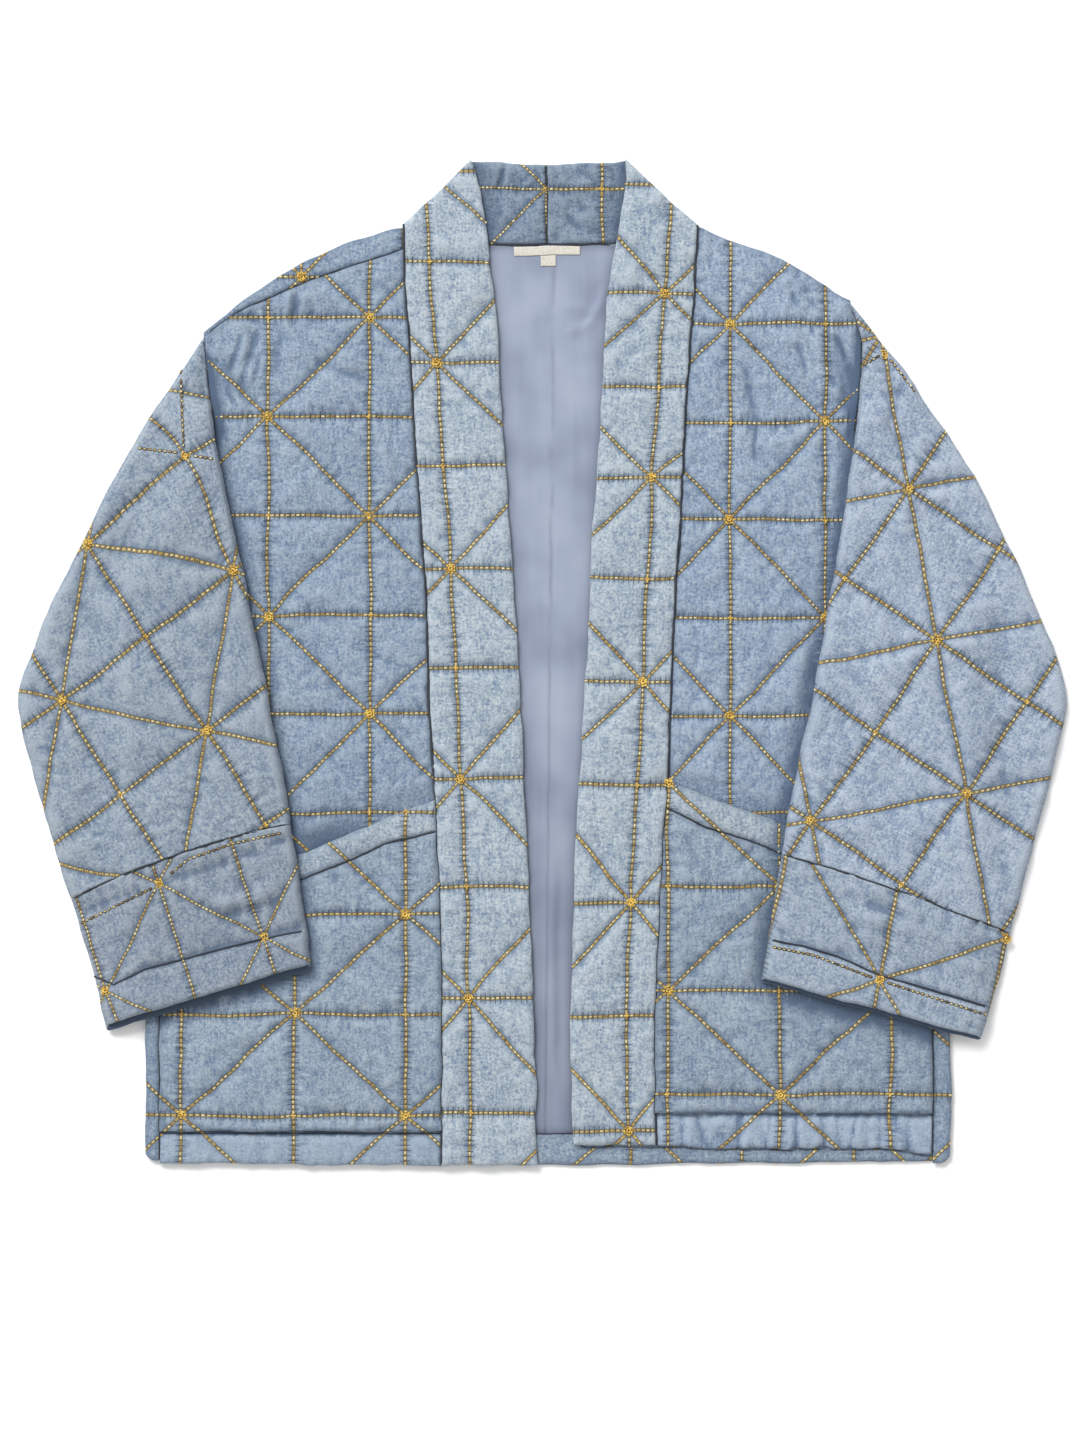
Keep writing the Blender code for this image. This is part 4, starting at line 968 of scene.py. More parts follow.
def makeFront(hand, seed):
    facts, piece = hands[hand], frontPieces[hand]
    hemSeam, mouth, fullness = facts["hemSeam"], facts["mouth"], piece["gathers"]
    frontNet, pocketNet = netAt(facts["front"]), netAt(facts["pocket"])

    def netOf(x, y):
        return (pocketNet if y < lineY(mouth, x) - 10 else frontNet)(x, y)

    def wall(x, y, side, end):
        seamY = lineY(hemSeam, x)
        rounded = roundEdge(min(side, end), 4.5)
        p, q = netOf(x, y)
        if y < seamY + 3:
            gathers = edgePucker(x, y, 30, min(end, seamY - y), seed) * 0.9
            gathers += 0.55 * fullness * ripple(x / 8, y / 34, seed + 61)
            gathers -= 0.5 * fullness * gatherAt(x, y, seed)
            lift = 2.2 * groove(y - seamY, 5.0) + (gathers + 0.4 * crumple(x, y, seed)) * groove(y - seamY)
            lift += 0.3 * netRelief(p, q, 75, 2.0, seed) * groove(y - seamY, 6.0)
            return (clothLook["cloth"] + lift) * rounded
        if y < lineY(mouth, x) + 0.3:
            return clothLook["cloth"] * rounded
        free, share = freedom(x, y)
        above = softStep((y - lineY(mouth, x) - 3) / 16)
        relief = netRelief(p, q, 75, clothLook["puff"], seed) * share
        relief += wrinkles(piece["folds"], x, y, side, end, seed) * free
        return (clothLook["cloth"] + max(-0.5, relief) * above) * rounded

    def washAndShadeOf(x, y):
        # The turned hem has washed pale, with painted shade in the troughs of its gathers; shade is painted
        # into the armhole folds, beside the sleeves and at the pocket mouths
        if y < lineY(hemSeam, x) - 1:
            pulled = 0.2 * fullness * gatherAt(x, y, seed)
            return 0.5 + 0.3 * ripple(x / 14, y / 22, seed + 45) - pulled
        patch = 0.15 * ripple(x / 60, y / 60, seed + 40) + foldsAt(piece["shadedFolds"], x, y)
        # Painted shade on the front just above each pocket mouth, where the mouth opens, stronger towards the
        # sides
        above = math.exp(-max(0.0, y - lineY(mouth, x)) / (16 if x < 0 else 9))
        inside = 0.3 + 0.7 * softStep((-120 - x) / 45) + 0.35 * softStep((x - 150) / 40)
        return max(-0.98, patch + paintedShadowBeside(x, y) - inside * above)

    def hemAt(x):
        return lineY(facts["hem"], x) - 0.35 * fullness * (ripple(x / 10, 3.3, seed) - gatherAt(x, 0, seed))

    return makePanel(f"coat_front_{hand}", facts["low"], facts["high"], hemAt, facts["top"], floors["front"],
                     wall, netOf, (205, 690), washAndShadeOf=washAndShadeOf)


pocketFolds = {
    "left": [(-170, -150, -120, -190, 8, -1.0), (-120, -160, -90, -240, 7, 1.0),
             (-270, -300, -220, -330, 6, 0.9), (-140, -240, -100, -255, 6, 1.0)],
    "right": [(100, -125, 130, -170, 8, -1.0), (140, -150, 165, -210, 7, 1.0),
              (170, -300, 230, -320, 6, 0.9)],
}


def pocketToneAndShadow(x, y):
    # Random tone, and painted shadow beside the sleeves
    return max(-0.98, 0.15 * ripple(x / 60, y / 60, 43.0) + paintedShadowBeside(x, y))


def makePocket(hand, seed):
    facts = hands[hand]
    netOf = netAt(facts["pocket"])

    def wall(x, y, side, end):
        free, share = freedom(x, y)
        relief = netRelief(*netOf(x, y), 78, clothLook["puff"], seed) * share
        relief += wrinkles(pocketFolds[hand], x, y, side, end, seed) * free
        return (clothLook["cloth"] + max(-0.6, relief)) * roundEdge(min(side, end), 4.5)

    return makePanel(f"coat_pocket_{hand}", facts["low"], facts["high"],
                     lambda x: lineY(facts["hemSeam"], x) + 1.5,
                     lambda x: lineY(facts["pocketSeam"], x) - clothLook["seamGap"] / 2,
                     floors["pocket"], wall, netOf, (208, 210), washAndShadeOf=pocketToneAndShadow)


# Where each facing stands off its front most, and how far along that reaches
facingGapes = {"left": (-150, 60), "right": (135, 50)}


def makeFacing(hand, seed):
    # The folded strip along a pocket's mouth, which stands off the front a little
    facts = hands[hand]
    seam, mouth = facts["pocketSeam"], facts["mouth"]
    gapeX, gapeReach = facingGapes[hand]

    def floor(x, y):
        low = lineY(seam, x)
        beside = 1 - softStep(abs(x - gapeX) / gapeReach)
        up = softStep((y - low) / (lineY(mouth, x) - low))
        return floors["pocket"] + 2.2 * beside * pressed(x, y) * up

    def wall(x, y, side, end):
        free, share = freedom(x, y)
        relief = 2.4 * share + (0.8 * crumple(x, y, seed) + edgePucker(x, y, side, end, seed)) * free
        return (clothLook["cloth"] + relief) * roundEdge(min(side, end), 5.5)

    return makePanel(f"coat_pocket_facing_{hand}", facts["low"], facts["high"],
                     lambda x: lineY(seam, x) + clothLook["seamGap"] / 2, mouth, floor, wall,
                     netAt(facts["pocket"]), (208, 24), washAndShadeOf=pocketToneAndShadow)


# Each front band: its sections, cross lines, the place of its lengthwise line, folds
bandPieces = {
    "left": (leftBand, leftBandLines, 0.30, [(-90, 340, -70, 300, 7, 1.0), (-60, 330, -50, 260, 6, 0.9)]),
    "right": (rightBand, rightBandLines, 0.34, [(100, 330, 80, 290, 7, 1.0), (70, 330, 62, 270, 6, 0.9)]),
}


def makeBand(hand, seed):
    sections, lines, lengthwise, folds = bandPieces[hand]

    def netOf(x, y):
        return bandCoords(sections, lines, lengthwise, x, y)

    top, low = sections[0][1], sections[-1][1]
    shares = spread(66)
    heights = [top + share * (low - top) for share in spread(top - low)]

    def place(column, row):
        outerX, outerY, innerX, innerY = sectionAtHeight(sections, heights[row])
        share = shares[column]
        return outerX + share * (innerX - outerX), outerY + share * (innerY - outerY)

    def inside(column, row):
        return *place(column, row), floors["band"]

    def outside(column, row):
        x, y = place(column, row)
        side = min(shares[column], 1 - shares[column]) * 66
        end = min(top - heights[row], heights[row] - low)
        relief = netRelief(*netOf(x, y), 75, clothLook["bandPuff"], seed) + 0.8 * crumple(x, y, seed)
        relief += edgePucker(x, y, side, end, seed) + foldsAt(folds, x, y)
        radius = 4.5 if shares[column] < 0.5 else 8.0
        rounded = min(roundEdge(side, radius), roundEdge(end, 6.0))
        return x, y, floors["band"] + (clothLook["bandCloth"] + max(-0.6, relief)) * rounded

    return makeWall(f"coat_band_{hand}", len(shares) - 1, len(heights) - 1, inside, outside, netOf)


for hand, denim, seed in (("left", "body", 1.0), ("right", "right", 2.0)):
    dress(makeFront(hand, seed), f"front_{hand}", denims[denim], frontPieces[hand]["flat"])
for hand, length, seed in (("left", 0.232, 3.0), ("right", 0.235, 4.0)):
    dress(makePocket(hand, seed), f"pocket_{hand}", denims["pocket"], (0.215, length))
for hand, seed in (("left", 5.0), ("right", 6.0)):
    dress(makeFacing(hand, seed), f"pocket_facing_{hand}", denims["band"], (0.225, 0.028))
print("fronts and pockets made")
for hand, length, seed in (("left", 0.760, 7.0), ("right", 0.745, 8.0)):
    dress(makeBand(hand, seed), f"band_{hand}", denims["band"], (0.075, length))
print("bands made")


# Collar behind the neck, its inner side up; its outer ends run in under the bands: the
# ends of the neck seam and of the top edge, which way its band lies, flat size and folds
collarPieces = {
    "left": {
        "corners": ((-102.6, 328.6), (3.25, 314.2), (-52.9, 376.2), (3.25, 372.8)),
        "band": leftBand,
        "away": 1,
        "net": "collarLeft",
        "flat": (0.110, 0.066),
        "folds": [(-28, 372, -34, 352, 2.4, -1.8), (-24, 372, -30, 352, 2.2, 1.2),
                  (-38, 350, -29, 333, 3.0, -1.8), (-45, 368, -38, 352, 2.6, 1.4),
                  (-10, 366, -22, 350, 3.0, -0.9), (-44, 322, -30, 340, 2.6, -1.0)],
    },
    "right": {
        "corners": ((114.6, 328.2), (3.55, 314.2), (61.9, 376.2), (3.55, 372.8)),
        "band": rightBand,
        "away": -1,
        "net": "collarRight",
        "flat": (0.115, 0.066),
        "folds": [(50, 374, 60, 358, 3.0, -1.8), (16, 340, 40, 352, 3.0, -0.9), (20, 330, 44, 338, 2.6, 1.0),
                  (44, 325, 54, 332, 2.4, -1.4), (12, 365, 30, 350, 3.0, 0.9)],
    },
}


def makeCollar(hand, seed):
    piece = collarPieces[hand]
    seamEnd, seamCentre, topEnd, topCentre = piece["corners"]
    netOf = netAt(piece["net"])
    across = spread(106)
    up = spread(60)

    def nearBand(x, y):
        return piece["away"] * (x - lineX(innerLine(piece["band"]), y)) - 6.0

    def place(column, row):
        share, rise = across[column], up[row]
        lowX = seamEnd[0] + share * (seamCentre[0] - seamEnd[0])
        lowY = seamEnd[1] + softStep(share * 1.6) * (seamCentre[1] - seamEnd[1])
        highX = topEnd[0] + share * (topCentre[0] - topEnd[0])
        highY = topEnd[1] + share * (topCentre[1] - topEnd[1])
        return lowX + rise * (highX - lowX), lowY + rise * (highY - lowY)

    def outside(column, row):
        x, y = place(column, row)
        side = min(across[column], 1 - across[column]) * 106
        end = min(up[row], 1 - up[row]) * 60
        free = softStep(nearBand(x, y) / 8.0)
        relief = netRelief(*netOf(x, y), 56, clothLook["collarPuff"], seed) + 0.7 * crumple(x, y, seed)
        relief *= free
        relief += (edgePucker(x, y, side, end, seed) * 0.7 + foldsAt(piece["folds"], x, y)) * free
        return x, y, (clothLook["collarCloth"] + max(-0.6, relief)) * roundEdge(min(side, end), 5.0)

    def washAndShadeOf(x, y, z):
        # Painted shade where it goes in under the bands and beside the centre seam, over random tone
        return max(-0.98, -0.75 * math.exp(-max(0.0, nearBand(x, y) + 4) / 7)
                   - 0.3 * math.exp(-abs(x - 3.4) / 3) + 0.3 * ripple(x / 14, y / 14, seed))

    return makeWall(f"coat_collar_{hand}", len(across) - 1, len(up) - 1,
                    lambda column, row: (*place(column, row), 0.0), outside, netOf, washAndShadeOf=washAndShadeOf,
                    slants=hand == "left")


for hand, seed in (("left", 9.0), ("right", 10.0)):
    flat = collarPieces[hand]["flat"]
    dress(makeCollar(hand, seed), f"collar_{hand}", denims["collar"], flat)

# Sleeves: their sections, length, lift, how far the cuff seam arches, flat size and folds
sleevePieces = {
    "left": (leftSleeve, 400, leftLift, 5.5, (0.420, 0.460), [
        (-300, 150, -250, 60, 12, 1.4), (-360, 10, -250, -40, 14, 1.1), (-330, -90, -215, -60, 12, -1.1),
        (-258, 225, -252, 190, 4, -1.6), (-285, 195, -262, 150, 6, 1.2), (-340, 60, -300, -30, 10, 1.0),
        (-280, 40, -240, 0, 7, -0.9), (-235, -60, -205, -100, 6, 1.0), (-375, -60, -340, -130, 8, 0.9),
    ]),
    "right": (rightSleeve, 420, rightLift, 3.5, (0.420, 0.480), [
        (285, 180, 262, 90, 10, 1.6), (350, 20, 240, -10, 12, 1.2), (330, -120, 230, -70, 12, -1.2),
        (262, 225, 288, 190, 6, 1.4), (262, 130, 300, 150, 6, 1.0), (240, 60, 260, -20, 8, 1.0),
        (365, 40, 345, -60, 9, 1.0), (215, -90, 250, -130, 7, 1.0), (275, 215, 256, 175, 4, -1.3),
    ]),
}
# Cuffs: the same, with the crease along which the hem is turned before the folds
leftCrease = [(-340, -236), (-335.6, -234.8), (-320.6, -240.8), (-296.6, -228.8), (-270.4, -222.0),
              (-233.6, -212.3), (-208.9, -206.3), (-176.0, -200.0)]
rightCrease = [(166.0, -206.5), (196.9, -212.3), (221.6, -219.8), (252.4, -234.0), (288.4, -243.8),
               (336.0, -258.5)]
cuffPieces = {
    "left": (leftCuff, 98, leftLift, 5.5, (0.345, 0.110), leftCrease, [
        (-250, -180, -190, -168, 6, 1.7), (-245, -190, -195, -180, 4, -1.3),
        (-330, -215, -280, -200, 8, -1.0), (-262, -172, -228, -186, 5, 1.3), (-215, -160, -205, -195, 4, 1.2),
    ]),
    "right": (rightCuff, 88, rightLift, 3.5, (0.365, 0.110), rightCrease, [
        (230, -185, 300, -205, 6, 1.7), (240, -176, 262, -190, 4, -1.4), (210, -215, 260, -225, 6, -1.0),
        (262, -175, 285, -196, 5, 1.4), (300, -215, 335, -232, 5, 1.2),
    ]),
}
# How far the lower layer of each cuff runs past the upper one, and how its mouth gapes
cuffMouths = {"left": (5.0, 2.4), "right": (3.0, 1.8)}


def makeSleeve(hand, denimName, seed):
    sections, length, lift, bow, flat, folds = sleevePieces[hand]
    netOf = netAt(f"sleeve{hand.title()}")

    def puff(x, y, under, over, along):
        ends = softStep(along * 24) * rolled((1 - along) * 400 + 0.6, 2.2)
        relief = netRelief(*netOf(x, y), 82, clothLook["puff"], seed) + crumple(x, y, seed)
        relief += foldsAt(folds, x, y)
        return (1.8 + max(-1.6, relief)) * rolled(under, 8) * rolled(over, 10) * ends

    made = makeTube(f"coat_sleeve_{hand}", sections, spread(length, 2.7), lift, puff, netOf, bow)
    dress(made, f"sleeve_{hand}", denims[denimName], flat)


def makeCuff(hand, denimName, seed):
    sections, length, lift, bow, flat, crease, folds = cuffPieces[hand]
    netOf = netAt(f"cuff{hand.title()}")

    def puff(x, y, under, over, along):
        beyond = lineY(crease, x) - y
        hem = groove(beyond, 5.0 if beyond < 0 else 3.0)
        relief = netRelief(*netOf(x, y), 66, clothLook["puff"] * 0.8, seed) + crumple(x, y, seed)
        relief += foldsAt(folds, x, y)
        relief += edgePucker(x, y, 30, abs(beyond), seed) + edgePucker(x, y, 30, along * 95, seed)
        if beyond > 0:
            relief = 0.6 * relief + 1.6
        full = (1.8 + max(-1.2, relief) * hem) * rolled(under, 7) * rolled(over, 9)
        return full * rolled(along * 95 + 0.4, 1.8) * rolled((1 - along) * 98 + 0.4, 4)

    shares = spread(length)
    made = makeTube(f"coat_cuff_{hand}", sections, shares, lift, puff, netOf, bow, *cuffMouths[hand], False)
    dress(made, f"cuff_{hand}", denims[denimName], flat)


makeSleeve("left", "sleeveLeft", 12.0)
makeSleeve("right", "sleeveRight", 13.0)
makeCuff("left", "cuffLeft", 14.0)
makeCuff("right", "cuffRight", 15.0)
print("sleeves and cuffs made")


# Back, lying on the surface, and the parts of it that fold forward
def roundedHem(x):
    return lineY(backHem, x) + 8.0 * (1 - rolled(302.0 - abs(x - 4.0), 9.0))


def topOfBack(x):
    return softY(backTop, x)


dress(makePanel("coat_back", backLeftSide, backRightSide, roundedHem, topOfBack, 0.0,
                lambda x, y, side, end: clothLook["backCloth"] * roundEdge(min(side, end), 2.5),
                netAt("frontLeft"), (600, 690), 9.0),
      "back", denims["body"], (0.640, 0.720))
for hand, low, high, seed in (("left", -297.4, -287.2, 16.0), ("right", 292.4, 305.6, 17.0)):
    dress(makePanel(f"coat_back_side_{hand}", low, high, lambda x: roundedHem(x) - 1.5, 40.0, floors["wrap"],
                    lambda x, y, side, end: (2.9 + 0.8 * edgePucker(x, y, side, end, seed))
                    * roundEdge(min(side, end), 4.0), netAt(hands[hand]["pocket"]), (high - low + 3, 410)),
          f"back_side_{hand}", denims["body"], (0.016, 0.420))


def shoulderWall(x, y, side, end):
    full = 3.2 + 0.7 * crumple(x, y, 18.0) + 0.8 * edgePucker(x, y, side, end, 18.0)
    return full * roundEdge(min(side, end), 4.5)


dress(makePanel("coat_back_shoulder_left", -250.0, -104.6, lambda x: lineY(leftShoulder, x) + 0.3, topOfBack,
                floors["wrap"], shoulderWall, netAt("shoulder"), (160, 22)),
      "back_shoulder_left", denims["body"], (0.165, 0.026))

# Facing inside the back's hem
dress(makePanel("coat_back_hem_facing", -12.0, 289.0, lambda x: lineY(backHem, x) + 0.8, facingTop,
                floors["facing"],
                lambda x, y, side, end: (1.4 + 0.6 * edgePucker(x, y, side, end, 19.0))
                * roundEdge(min(side, end), 3.0), netAt("pocketLeft"), (300, 16)),
      "back_hem_facing", denims["pocket"], (0.310, 0.030))

# Lining of the back, where the coat stands open
liningPiece = {
    "flat": (0.100, 0.690),
    "folds": [(50, 292, 27, 252, 4, -0.9), (54, 286, 30, 246, 3.4, 0.9), (27, 254, 20, 244, 3, 0.6),
              (26, 252, 33, 222, 3.5, -0.7), (-10, 262, 30, 215, 5, -0.4), (4, 200, 30, 120, 7, 0.8),
              (14, 270, 48, 262, 4, 0.7), (6, -120, 8, -330, 4, 0.9), (12, -150, 13, -330, 3, -0.6),
              (-2, 60, 24, -20, 8, 0.7), (5, 300, 6, 200, 2.2, -0.5), (-18, 150, 2, 40, 7, 0.5)],
}


def insideBands(x, y):
    return min(x - lineX(innerLine(leftBand), y), lineX(innerLine(rightBand), y) - x)


def liningWall(x, y, side, end):
    soft = 0.25 * ripple(x / 18, y / 50, 4.4) + 0.35 * ripple(x / 30, y / 30, 8.4)
    soft = (foldsAt(liningPiece["folds"], x, y) + soft) * softStep((292 - y) / 14)
    return clothLook["liningCloth"] + max(-0.5, soft) * softStep(insideBands(x, y) / 6)


def liningDarker(x, y):
    # Darker towards the bottom of the opening, painted shadow beside the bands, and a dark line down the
    # centre seam
    centre = 0.35 * math.exp(-((x - 5.5 - 0.01 * y) / 0.9) ** 2)
    return -0.24 * softStep((60 - y) / 330) - 0.45 * math.exp(-max(0.0, insideBands(x, y)) / 4.5) - centre


dress(makePanel("coat_lining", lambda y: lineX(innerLine(leftBand), y) - 9.0,
                lambda y: lineX(innerLine(rightBand), y) + 9.0, -352.6, 312.8, floors["lining"], liningWall,
                netAt("frontLeft"), (90, 665), washAndShadeOf=liningDarker),
      "lining_back", liningCotton, liningPiece["flat"])


# Bare woven label at the neck, and the tab that hangs from it: top, width and length
labelMiddle = 3.8


def labelWall(x, y, side, end):
    return 0.6 * roundEdge(min(side, end), 0.8) + 0.12 * ripple(x / 6, y / 4, 2)


for node, topY, width, length in (("neck_label", 312.6, 49.5, 6.8), ("size_tab", 305.5, 11.3, 8.0)):
    dress(makePanel(f"coat_{node}", labelMiddle - width / 2, labelMiddle + width / 2, topY - length, topY,
                    floors["label"], labelWall, netAt("frontLeft"), (max(13.0, width), 13.0), 1.2),
          node, labelTape, (width * mm, 0.0102))
print("back, lining, collar and labels made")


def surfaceAt(node, x, y):
    # The cloth under a place, or nothing past its edge
    hit, normal, index, distance = trees[node].ray_cast(Vector((x * mm, y * mm, 0.08)), Vector((0, 0, -1)))
    if hit is None or normal.z < 0.45:
        return None, None
    return hit, normal


def addBead(mesh, tone, value, place, along, normal, size):
    side = normal.cross(along).normalized()
    along = side.cross(normal).normalized()
    turn = Matrix((along, side, normal)).transposed().to_4x4()
    matrix = Matrix.Translation(place) @ turn @ Matrix.Diagonal((*[part * mm / 2 for part in size], 1.0))
    made = bmesh.ops.create_icosphere(mesh, subdivisions=1, radius=1.0, matrix=matrix)
    for vert in made["verts"]:
        vert[tone] = value


def addKnot(mesh, tone, hit, normal, star):
    # A star's knot is thread wound round and over itself; a plain crossing is a small cross
    count = 17 if star else 4
    for number in range(count):
        outer = star and number < 10
        turn = 2 * math.pi * (number / (10 if outer else 7) if star else number / 4) + luck.uniform(-0.2, 0.2)
        out = Vector((math.cos(turn), math.sin(turn), 0))
        along = out.cross(Vector((0, 0, 1))) if star else out.copy()
        along.rotate(Matrix.Rotation(luck.uniform(-0.7, 0.7) if star else 0.0, 3, "Z"))
        reach = stitchLook["knotRadius"] * (luck.uniform(0.85, 1.15) if outer else luck.uniform(0.35, 0.55))
        reach = reach if star else 1.2
        size = (luck.uniform(1.8, 2.6), luck.uniform(1.2, 1.7), 1.7) if star else (2.3, 1.4, 1.3)
        place = hit + out * reach * mm + normal * ((0.4 if outer else 0.65) * mm)
        addBead(mesh, tone, luck.uniform(0.2, 1.0), place, along, normal, size)


def addPiece(name, data, material, owner):
    data.shade_smooth()
    data.materials.clear()
    data.materials.append(material)
    item = addObject(name, data)
    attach(item, "root")
    pieceBag[owner]["with"].append(item)


def netRuns(span, slants, levels):
    # Every line of a net within a span: its start, its steps in p and q, and its length
    pLow, pHigh, qLow, qHigh = span
    tall = qHigh - qLow
    runs = [(p, qLow, 0, 1, tall) for p in range(pLow, pHigh + 1)] if levels else []
    runs += [(pLow, q, 1, 0, pHigh - pLow) for q in range(qLow, qHigh + 1)]
    if slants:
        first = 2 * math.floor((pLow - qHigh) / 2)
        runs += [(total + qLow, qLow, 1, 1, tall) for total in range(first, pHigh - qLow + 1, 2)]
        first = 2 * math.floor((pLow + qLow) / 2)
        runs += [(total - qLow, qLow, -1, 1, tall) for total in range(first, pHigh + qHigh + 1, 2)]
    return runs


def everywhere(x, y):
    return True


def stitchPanel(owner, net, span, accept=everywhere, name=None, slants=True, levels=True, rays=(), stars=()):
    # Running stitches along every line of the net that falls on this cloth, and along
    # the rays, which are given in places; slants are the lines between the stars, and
    # levels the lines along which only q changes
    pLow, pHigh, qLow, qHigh = span
    cell = clothLook["quiltCell"]
    placeOf = net if callable(net) else lambda p, q: netPlace(quilts[net], p, q)
    mesh = bmesh.new()
    tone = mesh.verts.layers.float.new("tone")
    knots = bmesh.new()
    knotTone = knots.verts.layers.float.new("tone")

    def addStitch(x, y, aheadX, aheadY, tint=0.64, holesAndShaded=False):
        if not accept(x, y):
            return
        hit, normal = surfaceAt(owner, x, y)
        if hit is None:
            return
        along = Vector((aheadX - x, aheadY - y, 0)).normalized()
        along.rotate(Matrix.Rotation(luck.uniform(-0.12, 0.12), 3, "Z"))
        size = (stitchLook["length"] * luck.uniform(0.82, 1.12),
                stitchLook["width"] * luck.uniform(0.85, 1.12), stitchLook["height"])
        shade = min(1.0, max(0.0, luck.gauss(tint, 0.22)))
        addBead(mesh, tone, shade, hit + normal * 0.25 * mm, along, normal, size)
        # A wide, low, dark bead under the stitch: painted shade round it, with the needle holes
        if holesAndShaded:
            addBead(mesh, tone, 0.0, hit, along, normal, (4.6, 3.0, 0.7))

    for startP, startQ, stepP, stepQ, length in netRuns(span, slants, levels):
        pitch = stitchLook["pitch"] / cell / math.hypot(stepP, stepQ)
        origin = startQ if stepQ else startP
        for number in range(math.ceil(origin / pitch), math.floor((origin + length) / pitch) + 1):
            share = (number + luck.uniform(-0.06, 0.06)) * pitch - origin
            p, q = startP + share * stepP, startQ + share * stepQ
            rise, fall = (p + q) / 2, (p - q) / 2
            star = math.hypot(rise - round(rise), fall - round(fall)) * math.sqrt(2) * cell
            if star >= stitchLook["starGap"] and pLow <= p <= pHigh:
                addStitch(*placeOf(p, q), *placeOf(p + stepP * 0.01, q + stepQ * 0.01))
    for x0, y0, x1, y1 in rays:
        count = round(math.hypot(x1 - x0, y1 - y0) / stitchLook["pitch"])
        for number in range(1, count + 1):
            share = number / count
            addStitch(x0 + share * (x1 - x0), y0 + share * (y1 - y0), x1 + x1 - x0, y1 + y1 - y0, 0.5, True)
    crossings = [(*placeOf(p, q), (p + q) % 2 == 0 and slants) for p in range(pLow, pHigh + 1)
                 for q in range(qLow, qHigh + 1) if levels or (p + q) % 2 == 0]
    for x, y, star in crossings + [(x, y, True) for x, y in stars]:
        hit, normal = surfaceAt(owner, x, y) if accept(x, y) else (None, None)
        if hit is not None:
            addKnot(knots, knotTone, hit, normal, star)
    for part, words, material in ((mesh, "stitches", stitchThread), (knots, "knots", knotThread)):
        if part.verts:
            data = bpy.data.meshes.new(f"{name or owner}_{words}")
            part.to_mesh(data)
            addPiece(data.name, data, material, owner)
        part.free()


def clearOfSleeve(x, y, reach):
    # Not more than this far in under a sleeve
    if x < 0:
        return x > lineX(leftSleeveEdge, y) - reach
    return x < lineX(rightSleeveEdge, y) + reach


def bandNet(hand):
    return lambda p, q: bandPlace(*bandPieces[hand][:3], p, q)


def cuffMouth(x):
    return lineY([leftCuff[-1][:2], leftCuff[-1][2:]] if x < 0 else [rightCuff[-1][2:], rightCuff[-1][:2]], x)


for hand, span in (("left", (-3, 1, -1, 7)), ("right", (-1, 3, -1, 6))):
    stitchPanel(f"front_{hand}", hands[hand]["front"], span,
                lambda x, y: y > lineY(hands[hand]["mouth"], x) + 3 and clearOfSleeve(x, y, 12))
for hand, span in (("left", (-2, 2, -1, 3)), ("right", (-1, 3, -1, 3))):
    stitchPanel(f"front_{hand}", hands[hand]["pocket"], span,
                lambda x, y: y < lineY(hands[hand]["hemSeam"], x) - 1.5, f"hem_{hand}")
# Below these heights the pockets come out from under the cuffs
pocketSpans = {"left": (-2, 2, -3, 2), "right": (-1, 3, -3, 2)}
cuffEnds = {"left": -235, "right": -240}
for hand, span in pocketSpans.items():
    stitchPanel(f"pocket_{hand}", hands[hand]["pocket"], span,
                lambda x, y: clearOfSleeve(x, y, 12) or y < cuffEnds[hand])
for hand, (pLow, pHigh, qLow, qHigh) in pocketSpans.items():
    stitchPanel(f"pocket_facing_{hand}", hands[hand]["pocket"], (pLow, pHigh, qLow, 0),
                lambda x, y: clearOfSleeve(x, y, 6), f"facing_{hand}")
for hand, lineCount, topY in (("left", 10, 368), ("right", 11, 366)):
    stitchPanel(f"band_{hand}", bandNet(hand), (-1, 1, 0, lineCount), lambda x, y: y < topY)
stitchPanel("sleeve_left", "sleeveLeft", (-4, 5, -4, 5),
            rays=[(-268, 159, -271, 218), (-271, 157, -309, 161.5), (-263, 155, -244, 152)],
            stars=[(-266.6, 155.3)])
stitchPanel("sleeve_right", "sleeveRight", (-4, 5, -4, 5),
            rays=[(259, 229, 285, 195), (254, 231, 242, 224)], stars=[(255.4, 231.0)])
cuffRays = {
    "left": [(-290, -167.5, -347.5, -196), (-280, -159, -264, -146.5), (-264, -146.5, -231, -135),
             (-231, -135, -197, -127.5)],
    "right": [(248, -235.6, 239, -232.4), (239, -232.4, 202, -218.4), (202, -218.4, 170, -212),
              (256, -238.6, 266, -241.6), (266, -241.6, 331, -263)],
}
for hand, rays in cuffRays.items():
    stitchPanel(f"cuff_{hand}", f"cuff{hand.title()}", (-3, 3, -3, 3),
                lambda x, y: y > cuffMouth(x) + 1.5, levels=False, rays=rays)
stitchPanel("collar_left", "collarLeft", (-2, 0, -1, 1),
            lambda x, y: x > lineX(innerLine(leftBand), y) - 1)
stitchPanel("collar_right", "collarRight", (-1, 1, -1, 1),
            lambda x, y: x < lineX(innerLine(rightBand), y) + 4, slants=False)
stitchPanel("back_hem_facing", "pocketLeft", (2, 6, 1, 2))
for hand in hands:
    stitchPanel(f"back_side_{hand}", hands[hand]["pocket"], (-2, 4, -4, 2),
                lambda x, y: y < -200)
stitchPanel("back_shoulder_left", "shoulder", (-1, 1, -1, 1))
print("stitching made")

